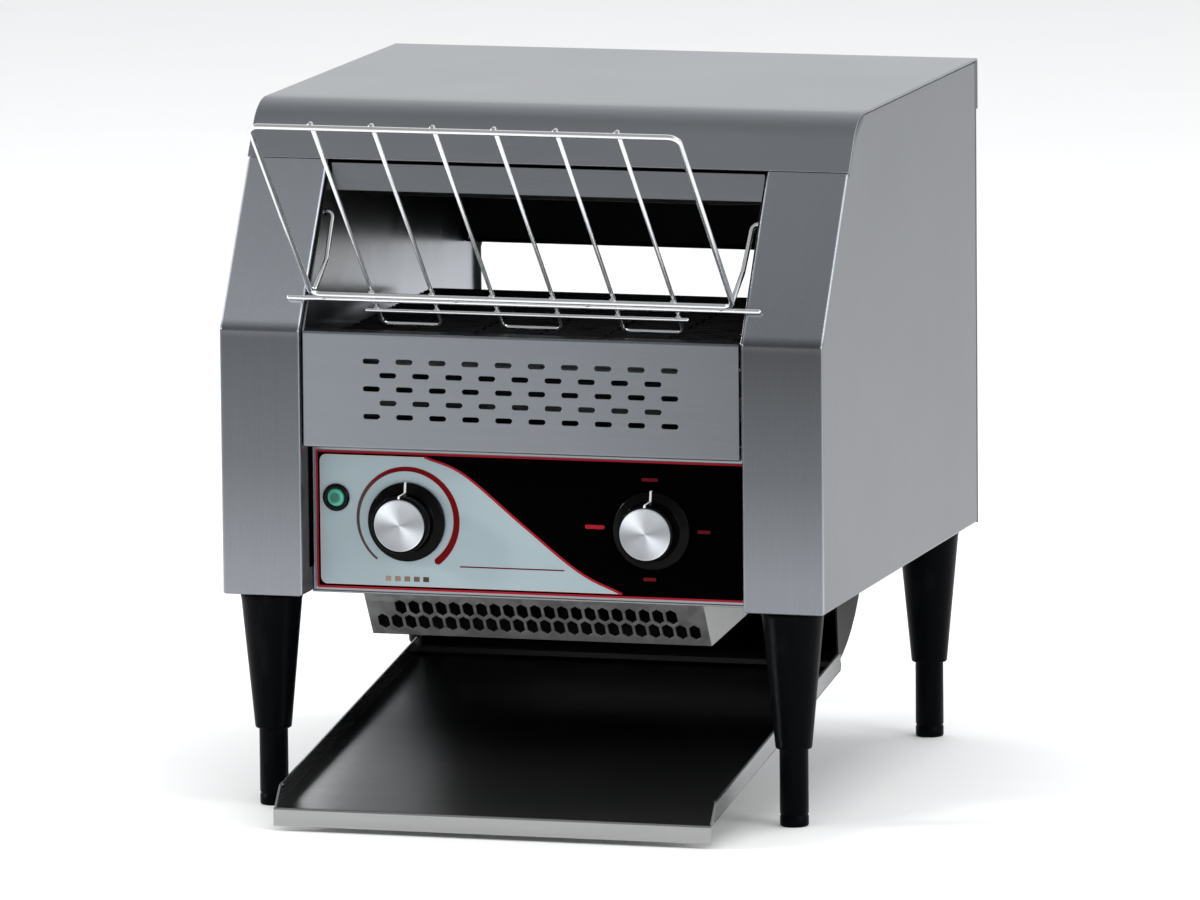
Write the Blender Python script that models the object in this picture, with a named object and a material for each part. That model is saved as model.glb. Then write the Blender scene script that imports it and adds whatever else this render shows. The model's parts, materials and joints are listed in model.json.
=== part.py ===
"""Electric conveyor toaster: a belt carries bread through the oven and drops the toast on a front tray.

Metres, +Z up.  The front of the toaster faces -Y and +X is on the right of somebody who stands before it.
Sizes are measured from the front face of the two columns, and the empty "toaster" shifts the whole model
so that the origin is under the middle of its bounding box, on the surface that the feet stand on.
"""

from math import atan2, cos, hypot, pi, radians, sin, tan

import bmesh
import bpy
from mathutils import Vector

# --- Driving dimensions ------------------------------------------------------------------------------
GAP = 0.0003                      # air between pieces that touch
SHEET = 0.0012                    # stainless sheet of every panel but the cap
CAP_SHEET = 0.0015

BODY_HALF = 0.184                 # half the width over the cap
SIDE_FACE = 0.1837                # outer faces of the side casings
COLUMN_INNER = 0.1345             # inner faces of the side casings
WALL_INNER = 0.133                # inner faces of the oven walls
PANEL_HALF = 0.1327               # half the width of the sheets between the oven walls
BODY_BOTTOM = 0.128
BODY_TOP = 0.412
CASING_DEPTH = 0.3579
KNEE_Z = 0.286                    # where the column's face starts to lean back
SLOPE = radians(57.3)             # lean of the upper face, from horizontal
CAP_EDGE_Z = 0.3805               # lower edge of the cap's front face
CAP_BEND = 0.030
CAP_REAR = 0.362
CAP_SKIRT_Z = 0.381
CASING_RETURN = 0.015             # width of the flange round the casing's open side

CONTROL_Y = 0.020                 # the control panel is set back this far
CONTROL_TOP = 0.2167
VENT_Y = 0.002
VENT_BOTTOM = 0.217
KNOB_X = 0.075
KNOB_Z = 0.172
LAMP_X = -0.1185
LAMP_Z = 0.185

FRONT_AXLE = (0.030, 0.2645)      # y and z of the two conveyor shafts
REAR_AXLE = (0.216, 0.2645)
BELT_OUTER = 0.0185
BELT_INNER = 0.0155
BELT_HALF = 0.120
BELT_TEETH = 10
SPROCKET_X = 0.110
SHAFT_RADIUS = 0.004
BORE_RADIUS = 0.0043

MOTOR_AXLE = (0.150, 0.180)
CHAIN_X = 0.154
CHAIN_WIDTH = 0.006
MOTOR_PITCH = 0.0126              # outer radius of each chain sprocket
DRIVEN_PITCH = 0.0189
MOTOR_TEETH = 8
DRIVEN_TEETH = 12
CHAIN_THICK = 0.0024

DECK_Z = 0.236
ROOF_Z = 0.366
HEADER_Y = 0.063
HEADER_Z = (0.3615, 0.378)

FAN_CENTRE = (-0.020, 0.110)
FAN_HALF = 0.040
FAN_BORE = 0.037

PAN_HALF = 0.104
TRAY_HALF = 0.133
TRAY_FRONT = -0.066
TRAY_REAR = 0.224
TRAY_FRONT_Z = 0.0136
TRAY_PITCH = atan2(0.1532, 1.0)
TRAY_RIM = 0.010
CHUTE_CENTRE = (0.200, 0.150)
CHUTE_RADIUS = 0.092
CHUTE_START = 16.1                # degrees of the bend, from its lowest point
CHUTE_END = 80.0
CHUTE_HALF = 0.1313

LEG_X = 0.1595
LEG_Y = (0.020, 0.332)
SLEEVE_BOTTOM = 0.046
SLEEVE_TOP_RADIUS = 0.0185
SLEEVE_BOTTOM_RADIUS = 0.01075
FOOT_RADIUS = 0.0085
FOOT_TOP = 0.100

RACK_PIN = (0.0515, 0.3499)       # the lift axis of the rack, in the oven walls
RACK_REST = (0.00955, 0.3046)     # centre of the pivot bar, whose ends lie on the columns
RACK_ARM = ((0.0096, 0.3101), (0.033, 0.3237))    # lower end and elbow of each arm
RACK_FOOT = (0.0070, 0.3073)      # centre of the frame's lower wire
RACK_HEAD = (-0.1087, 0.4210)     # centre of the frame's upper wire
RACK_HALF = 0.1287
RACK_WIRE = 0.0017                # wire radii
ROD_WIRE = 0.00125
ARM_WIRE = 0.0015
ROD_PITCH = 0.0368
ROD_TAIL = (0.0305, 0.2878)       # where the rods end over the belt's mouth
PIVOT_BAR_HALF = 0.1435
LOWER_BAR_HALF = 0.098
PIN_HOLE = 0.0022

GLAND = (0.150, 0.165)
GLAND_LENGTH = 0.012
GLAND_HOLE = 0.0065
REAR_PANEL_Y = 0.3582
REAR_CUT = (0.350, 0.370)         # every cutter of the back runs between these
BACK_WINDOW_HALF = 0.130
BACK_WINDOW_TOP = 0.294

FRONT_MOST = RACK_HEAD[0] - RACK_WIRE
REAR_MOST = REAR_PANEL_Y + SHEET + GLAND_LENGTH
CENTRE_Y = 0.5 * (FRONT_MOST + REAR_MOST)

# Colour, roughness and metallic value of each finish
BRUSHED = ((0.55, 0.57, 0.60), 0.34, 1.0)
POLISHED = ((0.62, 0.63, 0.65), 0.16, 1.0)
CHROME = ((0.80, 0.81, 0.82), 0.08, 1.0)
GALVANISED = ((0.48, 0.49, 0.50), 0.45, 1.0)
BLACK_PLASTIC = ((0.012, 0.012, 0.014), 0.35, 0.0)
LEG_BLACK = ((0.010, 0.012, 0.016), 0.42, 0.0)
OVERLAY = ((0.36, 0.38, 0.41), 0.40, 0.0)
SPUN = ((0.62, 0.65, 0.68), 0.28, 1.0)
GREEN = ((0.02, 0.30, 0.20), 0.15, 0.0)
STEEL = ((0.35, 0.35, 0.36), 0.40, 1.0)
BRONZE = ((0.45, 0.30, 0.16), 0.42, 1.0)
HEATER = ((0.10, 0.10, 0.10), 0.55, 0.6)
BELT_STEEL = ((0.22, 0.22, 0.22), 0.38, 1.0)


# --- Small geometry helpers --------------------------------------------------------------------------
def slope_y(z, back=0.0):
    """Y of the leaning front face at a height, moved back square to the face."""
    return (z - KNEE_Z) / tan(SLOPE) + back / sin(SLOPE)


def arc(centre, radius, start, end, steps):
    """Points on an arc; the angles are in radians from the first axis towards the second."""
    turn = [start + (end - start) * i / steps for i in range(steps + 1)]
    return [(centre[0] + radius * cos(a), centre[1] + radius * sin(a)) for a in turn]


def rounded(points, radius, steps=4, closed=False):
    """A path of 2-D or 3-D points with each inner corner replaced by a bend of the given radius."""
    path = [Vector(p) for p in points]
    count = len(path)
    result = []
    for i, corner in enumerate(path):
        if not closed and i in (0, count - 1):
            result.append(corner)
            continue
        before = (path[i - 1] - corner).normalized()
        after = (path[(i + 1) % count] - corner).normalized()
        half = 0.5 * before.angle(after)
        middle = (before + after).normalized()
        centre = corner + middle * (radius / sin(half))
        first = corner + before * (radius / tan(half)) - centre
        last = corner + after * (radius / tan(half)) - centre
        result += [centre + slerp(first, last, k / steps) for k in range(steps + 1)]
    return [tuple(p) for p in result]


def slerp(first, last, part):
    """A vector turned from one to another of the same length."""
    angle = first.angle(last)
    return (first * sin((1 - part) * angle) + last * sin(part * angle)) / sin(angle)


def area(outline):
    """Signed area of a closed outline."""
    pairs = zip(outline, outline[1:] + outline[:1])
    return 0.5 * sum(a[0] * b[1] - b[0] * a[1] for a, b in pairs)


def offset(points, distance, closed=True):
    """An outline or path moved sideways to its left by a distance, with mitred corners."""
    count = len(points)
    last = count if closed else count - 1
    lines = []
    for i in range(last):
        a, b = points[i], points[(i + 1) % count]
        length = hypot(b[0] - a[0], b[1] - a[1])
        normal = (-(b[1] - a[1]) / length, (b[0] - a[0]) / length)
        lines.append((normal, normal[0] * a[0] + normal[1] * a[1] + distance))
    moved = []
    for i, point in enumerate(points):
        if not closed and i in (0, count - 1):
            normal = lines[0 if i == 0 else -1][0]
            moved.append((point[0] + normal[0] * distance, point[1] + normal[1] * distance))
            continue
        (n1, d1), (n2, d2) = lines[i - 1], lines[i]
        cross = n1[0] * n2[1] - n1[1] * n2[0]
        if abs(cross) < 1e-9:
            moved.append((point[0] + n2[0] * distance, point[1] + n2[1] * distance))
        else:
            moved.append(((d1 * n2[1] - d2 * n1[1]) / cross, (n1[0] * d2 - n2[0] * d1) / cross))
    return moved


def inset(outline, distance):
    """A closed outline shrunk by a distance."""
    return offset(outline, distance if area(outline) > 0 else -distance)


def folded(path, thickness):
    """The outline of a sheet of the given thickness, folded along an open path, on its left side."""
    return list(path) + offset(path, thickness, closed=False)[::-1]


def loop_round(first, first_radius, last, last_radius, steps=10):
    """The outline of a belt stretched round two pulleys."""
    reach = hypot(last[0] - first[0], last[1] - first[1])
    along = atan2(last[1] - first[1], last[0] - first[0])
    lean = pi / 2 + atan2(last_radius - first_radius, reach)
    return (arc(last, last_radius, along - lean, along + lean, steps)
            + arc(first, first_radius, along + lean, along - lean + 2 * pi, steps))


def toothed(radius, depth, teeth):
    """The outline of a sprocket wheel with flat-topped teeth."""
    step = 2 * pi / teeth
    shape = ((0.00, 0.0), (0.30, 0.0), (0.45, depth), (0.85, depth))
    return [((radius - cut) * cos((i + turn) * step), (radius - cut) * sin((i + turn) * step))
            for i in range(teeth) for turn, cut in shape]


# --- Solids ------------------------------------------------------------------------------------------
AXES = {"X": lambda u, v, w: (w, u, v), "Y": lambda u, v, w: (u, w, v), "Z": lambda u, v, w: (u, v, w)}


def finish_material(name, finish):
    """The Principled material of one piece."""
    colour, roughness, metallic = finish
    material = bpy.data.materials.new(name)
    material.use_nodes = True
    shader = material.node_tree.nodes["Principled BSDF"]
    shader.inputs["Base Color"].default_value = (*colour, 1.0)
    shader.inputs["Roughness"].default_value = roughness
    shader.inputs["Metallic"].default_value = metallic
    material.diffuse_color = (*colour, 1.0)
    return material


def place(name, data, origin, finish):
    """Puts mesh or curve data into the scene at its origin, under the toaster's own empty."""
    item = bpy.data.objects.new(name, data)
    bpy.context.collection.objects.link(item)
    item.parent = bpy.data.objects["toaster"]
    item.location = origin
    if finish:
        data.materials.append(finish_material(name, finish))
    else:
        item.hide_render = True
        item.display_type = "WIRE"
    return item


def from_bmesh(name, shape, origin, finish, smooth=False):
    """Turns a bmesh into an object whose origin is at the given point."""
    bmesh.ops.recalc_face_normals(shape, faces=shape.faces)
    bmesh.ops.translate(shape, verts=shape.verts, vec=-Vector(origin))
    mesh = bpy.data.meshes.new(name)
    shape.to_mesh(mesh)
    shape.free()
    if smooth:
        mesh.shade_smooth()
        mesh.set_sharp_from_angle(angle=radians(35))
    return place(name, mesh, origin, finish)


def prism(name, outline, low, high, axis="X", finish=None, origin=(0, 0, 0)):
    """Extrudes an outline along an axis; the outline is (y, z) for X, (x, z) for Y and (x, y) for Z."""
    shape = bmesh.new()
    lower = [shape.verts.new(AXES[axis](u, v, low)) for u, v in outline]
    upper = [shape.verts.new(AXES[axis](u, v, high)) for u, v in outline]
    shape.faces.new(lower)
    shape.faces.new(upper)
    for i in range(len(outline)):
        k = (i + 1) % len(outline)
        shape.faces.new((lower[i], lower[k], upper[k], upper[i]))
    return from_bmesh(name, shape, origin, finish)


def block(name, xs, ys, zs, finish=None, origin=(0, 0, 0)):
    """A rectangular block between two values on each axis."""
    corners = [(ys[0], zs[0]), (ys[1], zs[0]), (ys[1], zs[1]), (ys[0], zs[1])]
    return prism(name, corners, xs[0], xs[1], "X", finish, origin)


def turned(name, profile, centre, axis="Z", sides=24, finish=None, origin=None, ring=False):
    """Turns a profile of (radius, height) about an axis through the centre.

    The profile starts and ends on the axis, or is a closed loop where ring is true.
    """
    shape = bmesh.new()
    rows = []
    for radius, height in profile:
        count = sides if radius > 1e-7 else 1
        angles = [2 * pi * k / sides for k in range(count)]
        circle = [(centre[0] + radius * cos(a), centre[1] + radius * sin(a)) for a in angles]
        rows.append([shape.verts.new(AXES[axis](*point, height)) for point in circle])
    if ring:
        rows.append(rows[0])
    for low, high in zip(rows, rows[1:]):
        for k in range(sides):
            n = (k + 1) % sides
            corners = [low[k % len(low)], low[n % len(low)], high[n % len(high)], high[k % len(high)]]
            shape.faces.new(list(dict.fromkeys(corners)))
    home = AXES[axis](centre[0], centre[1], 0.0) if origin is None else origin
    return from_bmesh(name, shape, home, finish, smooth=True)


def rod(name, centre, radius, low, high, axis="X", sides=24, finish=None, origin=None):
    """A plain cylinder along an axis."""
    profile = [(0, low), (radius, low), (radius, high), (0, high)]
    return turned(name, profile, centre, axis, sides, finish, origin)


def tube(name, centre, outer, inner, low, high, axis="X", sides=24, finish=None):
    """A plain tube along an axis."""
    profile = [(outer, low), (outer, high), (inner, high), (inner, low)]
    return turned(name, profile, centre, axis, sides, finish, ring=True)


def wire(name, points, radius, finish, origin=(0, 0, 0), closed=False):
    """A round wire along a path of 3-D points."""
    data = bpy.data.curves.new(name, "CURVE")
    data.dimensions = "3D"
    data.bevel_depth = radius
    data.bevel_resolution = 2
    data.use_fill_caps = True
    spline = data.splines.new("POLY")
    spline.points.add(len(points) - 1)
    for knot, point in zip(spline.points, points):
        knot.co = (*(Vector(point) - Vector(origin)), 1.0)
    spline.use_cyclic_u = closed
    return place(name, data, origin, finish)


def boolean(target, tools, operation):
    """Adds one exact Boolean for each tool, in order."""
    for tool in tools:
        step = target.modifiers.new(tool.name, "BOOLEAN")
        step.operation = operation
        step.solver = "EXACT"
        step.object = tool
    return target


def cut(target, *tools):
    """Takes hidden tools out of a piece."""
    return boolean(target, tools, "DIFFERENCE")


def fuse(target, *tools):
    """Joins hidden tools to a piece."""
    return boolean(target, tools, "UNION")


# --- The housing -------------------------------------------------------------------------------------
def casing_outline():
    """Side view of the casing: the leaning face steps in under the cap."""
    tuck = CAP_SHEET + GAP
    step = (slope_y(CAP_EDGE_Z - GAP), CAP_EDGE_Z - GAP)
    under_cap = BODY_TOP - CAP_SHEET - GAP
    bend_z = BODY_TOP - CAP_BEND * (1 - cos(SLOPE)) - CAP_SHEET
    bend_y = slope_y(BODY_TOP) + CAP_BEND * tan(SLOPE / 2)
    return [(0, BODY_BOTTOM), (0, KNEE_Z), step, (step[0] + tuck * sin(SLOPE), step[1] - tuck * cos(SLOPE)),
            (slope_y(bend_z, tuck), bend_z), (bend_y, under_cap), (CASING_DEPTH, under_cap),
            (CASING_DEPTH, BODY_BOTTOM)]


def side_casings():
    """The two shells that carry the legs: closed outside, open to the oven."""
    outline = casing_outline()
    for side, name in ((-1, "left"), (1, "right")):
        casing = prism(f"side_casing_{name}", outline, side * COLUMN_INNER, side * SIDE_FACE, "X", BRUSHED)
        hollow = prism(f"casing_hollow_{name}", inset(outline, SHEET),
                       side * (COLUMN_INNER + SHEET), side * (SIDE_FACE - SHEET))
        simple = outline[:2] + outline[4:]
        mouth = prism(f"casing_mouth_{name}", inset(simple, CASING_RETURN),
                      side * (COLUMN_INNER - SHEET), side * (COLUMN_INNER + 2 * SHEET))
        pin = rod(f"casing_pin_hole_{name}", RACK_PIN, PIN_HOLE,
                  side * (COLUMN_INNER - SHEET), side * (COLUMN_INNER + 2 * SHEET), sides=12)
        cut(casing, hollow, mouth, pin)
        if side > 0:
            cut(casing, rod("casing_gland_hole", GLAND, GLAND_HOLE, *REAR_CUT, "Y", 20))


def top_cover():
    """The cap: one folded sheet over the top, down the leaning front and down the back."""
    corner = (slope_y(BODY_TOP), BODY_TOP)
    start = (slope_y(CAP_EDGE_Z), CAP_EDGE_Z)
    front = rounded([start, corner, (CAP_REAR, BODY_TOP)], CAP_BEND, steps=7)[:-1]
    rear = rounded([corner, (CAP_REAR, BODY_TOP), (CAP_REAR, CAP_SKIRT_Z)], 0.002, steps=2)[1:]
    prism("top_cover", folded(front + rear, -CAP_SHEET), -BODY_HALF, BODY_HALF, "X", BRUSHED)


def rear_panel():
    """The back sheet with its window and the hole for the cord gland."""
    panel = block("rear_panel", (-SIDE_FACE, SIDE_FACE), (REAR_PANEL_Y, REAR_PANEL_Y + SHEET),
                  (BODY_BOTTOM, BODY_TOP - CAP_SHEET - GAP), BRUSHED)
    half, sill = BACK_WINDOW_HALF, DECK_Z + 2 * SHEET
    corners = [(-half, sill), (half, sill), (half, BACK_WINDOW_TOP), (-half, BACK_WINDOW_TOP)]
    window = prism("rear_window_cut", rounded(corners, 0.006, 3, closed=True), *REAR_CUT, "Y")
    gland = rod("gland_hole", GLAND, GLAND_HOLE, *REAR_CUT, "Y", 20)
    cut(panel, window, gland)


def base_pan():
    """The floor between the casings, open over the fan and for the falling toast."""
    base = block("base_pan", (-COLUMN_INNER + GAP, COLUMN_INNER - GAP), (CONTROL_Y, CASING_DEPTH),
                 (BODY_BOTTOM, BODY_BOTTOM + SHEET), GALVANISED)
    through = (BODY_BOTTOM - 0.008, BODY_BOTTOM + 0.012)
    drop_half = CHUTE_HALF + 0.0005
    drop = block("toast_drop_cut", (-drop_half, drop_half), (0.225, 0.296), through)
    fan = rod("fan_intake_cut", FAN_CENTRE, FAN_BORE - 0.001, *through, "Z", 28)
    cut(base, drop, fan)


def vent_panel():
    """The louvred sheet under the belt's mouth, folded back at its top and bottom."""
    path = [(VENT_Y + 0.012, KNEE_Z), (VENT_Y, KNEE_Z), (VENT_Y, VENT_BOTTOM), (CONTROL_Y - 0.002, VENT_BOTTOM)]
    panel = prism("vent_panel", folded(path, SHEET), -PANEL_HALF, PANEL_HALF, "X", BRUSHED)
    slots = bmesh.new()
    pitch, width, height, row_pitch, top_row = 0.0202, 0.0104, 0.003, 0.0082, 0.2692
    for row in range(5):
        count = 10 - row % 2
        for column in range(count):
            centre = Vector(((column - 0.5 * (count - 1)) * pitch, VENT_Y, top_row - row * row_pitch))
            made = bmesh.ops.create_cube(slots, size=1.0)["verts"]
            bmesh.ops.scale(slots, verts=made, vec=(width, 0.006, height))
            bmesh.ops.translate(slots, verts=made, vec=centre)
    cut(panel, from_bmesh("vent_slot_cuts", slots, (0, 0, 0), None))


def control_plate(name, half, y_front, thickness, zs, finish, grow=0.0):
    """A flat plate with the holes for the two shafts and the lamp."""
    plate = block(name, (-half, half), (y_front, y_front + thickness), zs, finish)
    shaft_hole, lamp_hole = 0.004, 0.0065
    spots = (("left", -KNOB_X, KNOB_Z, shaft_hole), ("right", KNOB_X, KNOB_Z, shaft_hole),
             ("lamp", LAMP_X, LAMP_Z, lamp_hole))
    span = (y_front - 0.005, y_front + 0.005)
    for spot, x, z, radius in spots:
        cut(plate, rod(f"{name}_hole_{spot}", (x, z), radius + grow, *span, "Y", 20))
    return plate


def control_panel():
    """The set-back panel and the printed overlay on its face."""
    panel_zs = (BODY_BOTTOM + SHEET + GAP, CONTROL_TOP)
    control_plate("control_panel", PANEL_HALF, CONTROL_Y, SHEET, panel_zs, BRUSHED)
    control_plate("control_overlay", 0.131, CONTROL_Y - 0.0008, 0.0005, (0.1310, 0.2130), OVERLAY, grow=0.0003)


def front_header():
    """The strip under the cap's edge, with a lip folded into the oven."""
    path = [(HEADER_Y, HEADER_Z[1]), (HEADER_Y, HEADER_Z[0]), (HEADER_Y + 0.012, HEADER_Z[0])]
    prism("front_header", folded(path, SHEET), -PANEL_HALF, PANEL_HALF, "X", BRUSHED)


def oven_walls():
    """The polished sheets on both sides of the belt, with the holes for what passes through them."""
    back = 0.003
    foot = 0.0215 + GAP
    top = HEADER_Z[1]
    floor = BODY_BOTTOM + SHEET + GAP
    outline = [(foot, floor), (foot, VENT_BOTTOM), (VENT_Y + back, VENT_BOTTOM), (VENT_Y + back, KNEE_Z),
               (slope_y(top, back), top), (CASING_DEPTH - GAP, top), (CASING_DEPTH - GAP, floor)]
    for side, name in ((-1, "left"), (1, "right")):
        span = (side * (WALL_INNER - SHEET), side * (COLUMN_INNER + SHEET))
        thickness = (side * WALL_INNER, side * (WALL_INNER + SHEET))
        wall = prism(f"oven_wall_{name}", outline, *thickness, "X", POLISHED)
        holes = [("front_bush", FRONT_AXLE, 0.0083), ("rear_bush", REAR_AXLE, 0.0083),
                 ("pin", RACK_PIN, PIN_HOLE)]
        if side < 0:
            holes += [("heater", spot, 0.0046) for spot in HEATER_ENDS]
        else:
            holes.append(("motor", MOTOR_AXLE, 0.0055))
        for number, (kind, centre, radius) in enumerate(holes):
            cut(wall, rod(f"{kind}_hole_{name}_{number}", centre, radius, *span, sides=16))


def oven_sheets():
    """The deck under the belt and the reflector over the heaters."""
    block("oven_deck", (-PANEL_HALF, PANEL_HALF), (0.024, 0.238), (DECK_Z, DECK_Z + SHEET), POLISHED)
    block("upper_reflector", (-PANEL_HALF, PANEL_HALF), (HEADER_Y + 0.014, CASING_DEPTH - 2 * GAP),
          (ROOF_Z, ROOF_Z + SHEET), POLISHED)


def lower_vent_pan():
    """The perforated trough under the base, which the fan draws its air through."""
    outline = [(0.024, BODY_BOTTOM - GAP), (0.042, 0.1006), (0.190, 0.1129), (0.205, BODY_BOTTOM - GAP)]
    pan = prism("lower_vent_pan", outline, -PAN_HALF, PAN_HALF, "X", GALVANISED)
    shrunk = offset(outline, SHEET, closed=False)
    lifted = [(2 * shrunk[0][0] - shrunk[1][0], 2 * shrunk[0][1] - shrunk[1][1])] + shrunk[1:-1]
    lifted.append((2 * shrunk[-1][0] - shrunk[-2][0], 2 * shrunk[-1][1] - shrunk[-2][1]))
    hollow = prism("pan_hollow", lifted, -PAN_HALF + SHEET, PAN_HALF - SHEET)

    top, bottom = Vector((0, *outline[0])), Vector((0, *outline[1]))
    down = (bottom - top).normalized()
    outward = Vector((0, down.z, -down.y))
    width, length, point, pitch, spacing = 0.0066, 0.0118, 0.0024, 0.0083, 0.0116
    cell = [(-width / 2, point - length / 2), (0, -length / 2), (width / 2, point - length / 2),
            (width / 2, length / 2 - point), (0, length / 2), (-width / 2, length / 2 - point)]
    first_row = 0.0106
    holes = bmesh.new()
    for row, count in enumerate((21, 24)):
        for column in range(count):
            centre = top + down * (first_row + row * spacing)
            centre.x = (column - 0.5 * (count - 1)) * pitch
            rings = [[holes.verts.new(centre + Vector((u, 0, 0)) + down * v + outward * depth) for u, v in cell]
                     for depth in (-0.004, 0.004)]
            holes.faces.new(rings[0])
            holes.faces.new(rings[1])
            for k in range(6):
                n = (k + 1) % 6
                holes.faces.new((rings[0][k], rings[0][n], rings[1][n], rings[1][k]))
    cut(pan, hollow, from_bmesh("pan_hole_cuts", holes, (0, 0, 0), None))


def chute_path():
    """Underside of the chute: a lip behind the tray, a round bend, a back wall and a flare."""
    lip = arc(CHUTE_CENTRE, CHUTE_RADIUS, radians(CHUTE_START - 90), radians(CHUTE_END - 90), 9)
    last = lip[-1]
    rise = 0.046
    straight = (last[0] + rise / tan(radians(CHUTE_END)), last[1] + rise)
    return lip + [straight, (0.352, DECK_Z - 0.004)]


def rear_chute():
    """The curved sheet that catches the toast and turns it forwards, with a cheek on each side."""
    path = chute_path()
    chute = prism("rear_chute", folded(path, SHEET), -CHUTE_HALF, CHUTE_HALF, "X", BRUSHED)
    cheek = path + [(0.240, DECK_Z - 0.004), (0.240, BODY_BOTTOM), (0.222, 0.100)]
    for side, name in ((-1, "left"), (1, "right")):
        fuse(chute, prism(f"chute_cheek_{name}", cheek, side * (CHUTE_HALF - SHEET), side * CHUTE_HALF))


# --- Heating, belt and drive -------------------------------------------------------------------------
UPPER_HEATER = (0.130, 0.250, 0.354)        # y of both passes and z of a hairpin element
LOWER_HEATER = (0.085, 0.160, 0.2645)
HEATER_RADIUS = 0.004
HEATER_SPAN = (-0.142, 0.122)               # x of the terminals and of the bend
HEATER_ENDS = [(y, spec[2]) for spec in (UPPER_HEATER, LOWER_HEATER) for y in spec[:2]]


def heaters():
    """Two hairpin tube elements: over the bread and inside the belt's loop."""
    start, reach = HEATER_SPAN
    for name, (first, last, z) in (("upper_heater", UPPER_HEATER), ("lower_heater", LOWER_HEATER)):
        ends = [(start, first, z), (reach, first, z), (reach, last, z), (start, last, z)]
        wire(name, rounded(ends, 0.3 * (last - first), 5), HEATER_RADIUS, HEATER)


def conveyor_belt():
    """The belt as a closed band round both pairs of sprockets."""
    outer = loop_round(FRONT_AXLE, BELT_OUTER, REAR_AXLE, BELT_OUTER)
    inner = loop_round(FRONT_AXLE, BELT_INNER, REAR_AXLE, BELT_INNER)
    belt = prism("conveyor_belt", outer, -BELT_HALF, BELT_HALF, "X", BELT_STEEL)
    cut(belt, prism("belt_inside", inner, -BELT_HALF - 0.01, BELT_HALF + 0.01))


def sprocket(name, centre, x, width, radius, depth, teeth, finish):
    """A toothed wheel on a shaft along X."""
    outline = [(centre[0] + u, centre[1] + v) for u, v in toothed(radius, depth, teeth)]
    wheel = prism(name, outline, x - width / 2, x + width / 2, "X", finish, origin=(x, *centre))
    return cut(wheel, rod(f"{name}_bore", centre, BORE_RADIUS, x - width, x + width, sides=16))


def conveyor_drive():
    """Both shafts with their bushes and sprockets."""
    for name, centre, right_end in (("front", FRONT_AXLE, 0.1385), ("rear", REAR_AXLE, 0.160)):
        shaft = "front_shaft" if name == "front" else "drive_shaft"
        rod(shaft, centre, SHAFT_RADIUS, -0.1385, right_end, sides=16, finish=STEEL, origin=(0, *centre))
        for side, hand in ((-1, "left"), (1, "right")):
            sprocket(f"{name}_sprocket_{hand}", centre, side * SPROCKET_X, 0.006,
                     BELT_INNER - GAP, 0.002, BELT_TEETH, STEEL)
            flange, face = side * (WALL_INNER - 0.0025), side * (WALL_INNER - GAP)
            end = side * (COLUMN_INNER + 0.002)
            profile = [(0.0105, flange), (0.0105, face), (0.008, face), (0.008, end),
                       (BORE_RADIUS, end), (BORE_RADIUS, flange)]
            turned(f"bush_{name}_{hand}", profile, centre, "X", 16, BRONZE, ring=True)


def chain_drive():
    """The gear motor, its sprocket, the chain and the sprocket on the conveyor's shaft."""
    sprocket("driven_chain_sprocket", REAR_AXLE, CHAIN_X, 0.004, DRIVEN_PITCH, 0.003, DRIVEN_TEETH, STEEL)
    outline = [(MOTOR_AXLE[0] + u, MOTOR_AXLE[1] + v) for u, v in toothed(MOTOR_PITCH, 0.003, MOTOR_TEETH)]
    pinion = prism("motor_sprocket", outline, CHAIN_X - 0.002, CHAIN_X + 0.002, "X", STEEL,
                   origin=(CHAIN_X, *MOTOR_AXLE))
    fuse(pinion, rod("motor_sprocket_shaft", MOTOR_AXLE, 0.0045, 0.1322, CHAIN_X + 0.004, sides=16))

    radii = (MOTOR_PITCH + GAP, DRIVEN_PITCH + GAP)
    outer = loop_round(MOTOR_AXLE, radii[0] + CHAIN_THICK, REAR_AXLE, radii[1] + CHAIN_THICK)
    inner = loop_round(MOTOR_AXLE, radii[0], REAR_AXLE, radii[1])
    chain = prism("drive_chain", outer, CHAIN_X - CHAIN_WIDTH / 2, CHAIN_X + CHAIN_WIDTH / 2, "X", STEEL)
    cut(chain, prism("chain_inside", inner, CHAIN_X - CHAIN_WIDTH, CHAIN_X + CHAIN_WIDTH))

    y, z = MOTOR_AXLE
    half, gearbox_x = 0.026, 0.098
    motor = block("gear_motor", (gearbox_x, WALL_INNER - 4 * GAP), (y - half, y + half), (z - 0.032, z + half),
                  GALVANISED)
    fuse(motor, rod("motor_can", (y, z), 0.022, gearbox_x - 0.048, gearbox_x + 0.002, sides=20))


def fan():
    """The cooling fan that lies on the base pan: a square frame with a hub on struts, and its rotor."""
    x, y = FAN_CENTRE
    low = BODY_BOTTOM + SHEET + GAP
    frame = block("fan_frame", (x - FAN_HALF, x + FAN_HALF), (y - FAN_HALF, y + FAN_HALF),
                  (low, low + 0.025), BLACK_PLASTIC)
    cut(frame, rod("fan_duct", FAN_CENTRE, FAN_BORE, low - 0.01, low + 0.04, "Z", 28))
    for index, (dx, dy) in enumerate(((0.004, FAN_BORE + 0.002), (FAN_BORE + 0.002, 0.004))):
        fuse(frame, block(f"fan_strut_{index}", (x - dx, x + dx), (y - dy, y + dy), (low, low + 0.003)))
    fuse(frame, rod("fan_motor_plate", FAN_CENTRE, 0.014, low, low + 0.005, "Z", 20))

    rotor_low = low + 0.006
    rotor = rod("fan_rotor", FAN_CENTRE, 0.015, rotor_low, low + 0.023, "Z", 20, BLACK_PLASTIC)
    blades = 7
    for index in range(blades):
        blade = block(f"fan_blade_{index}", (0.012, 0.0345), (-0.0008, 0.0008), (-0.008, 0.008))
        blade.rotation_euler = (radians(40), 0, 2 * pi * index / blades)
        blade.location = (x, y, low + 0.0145)
        fuse(rotor, blade)


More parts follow.
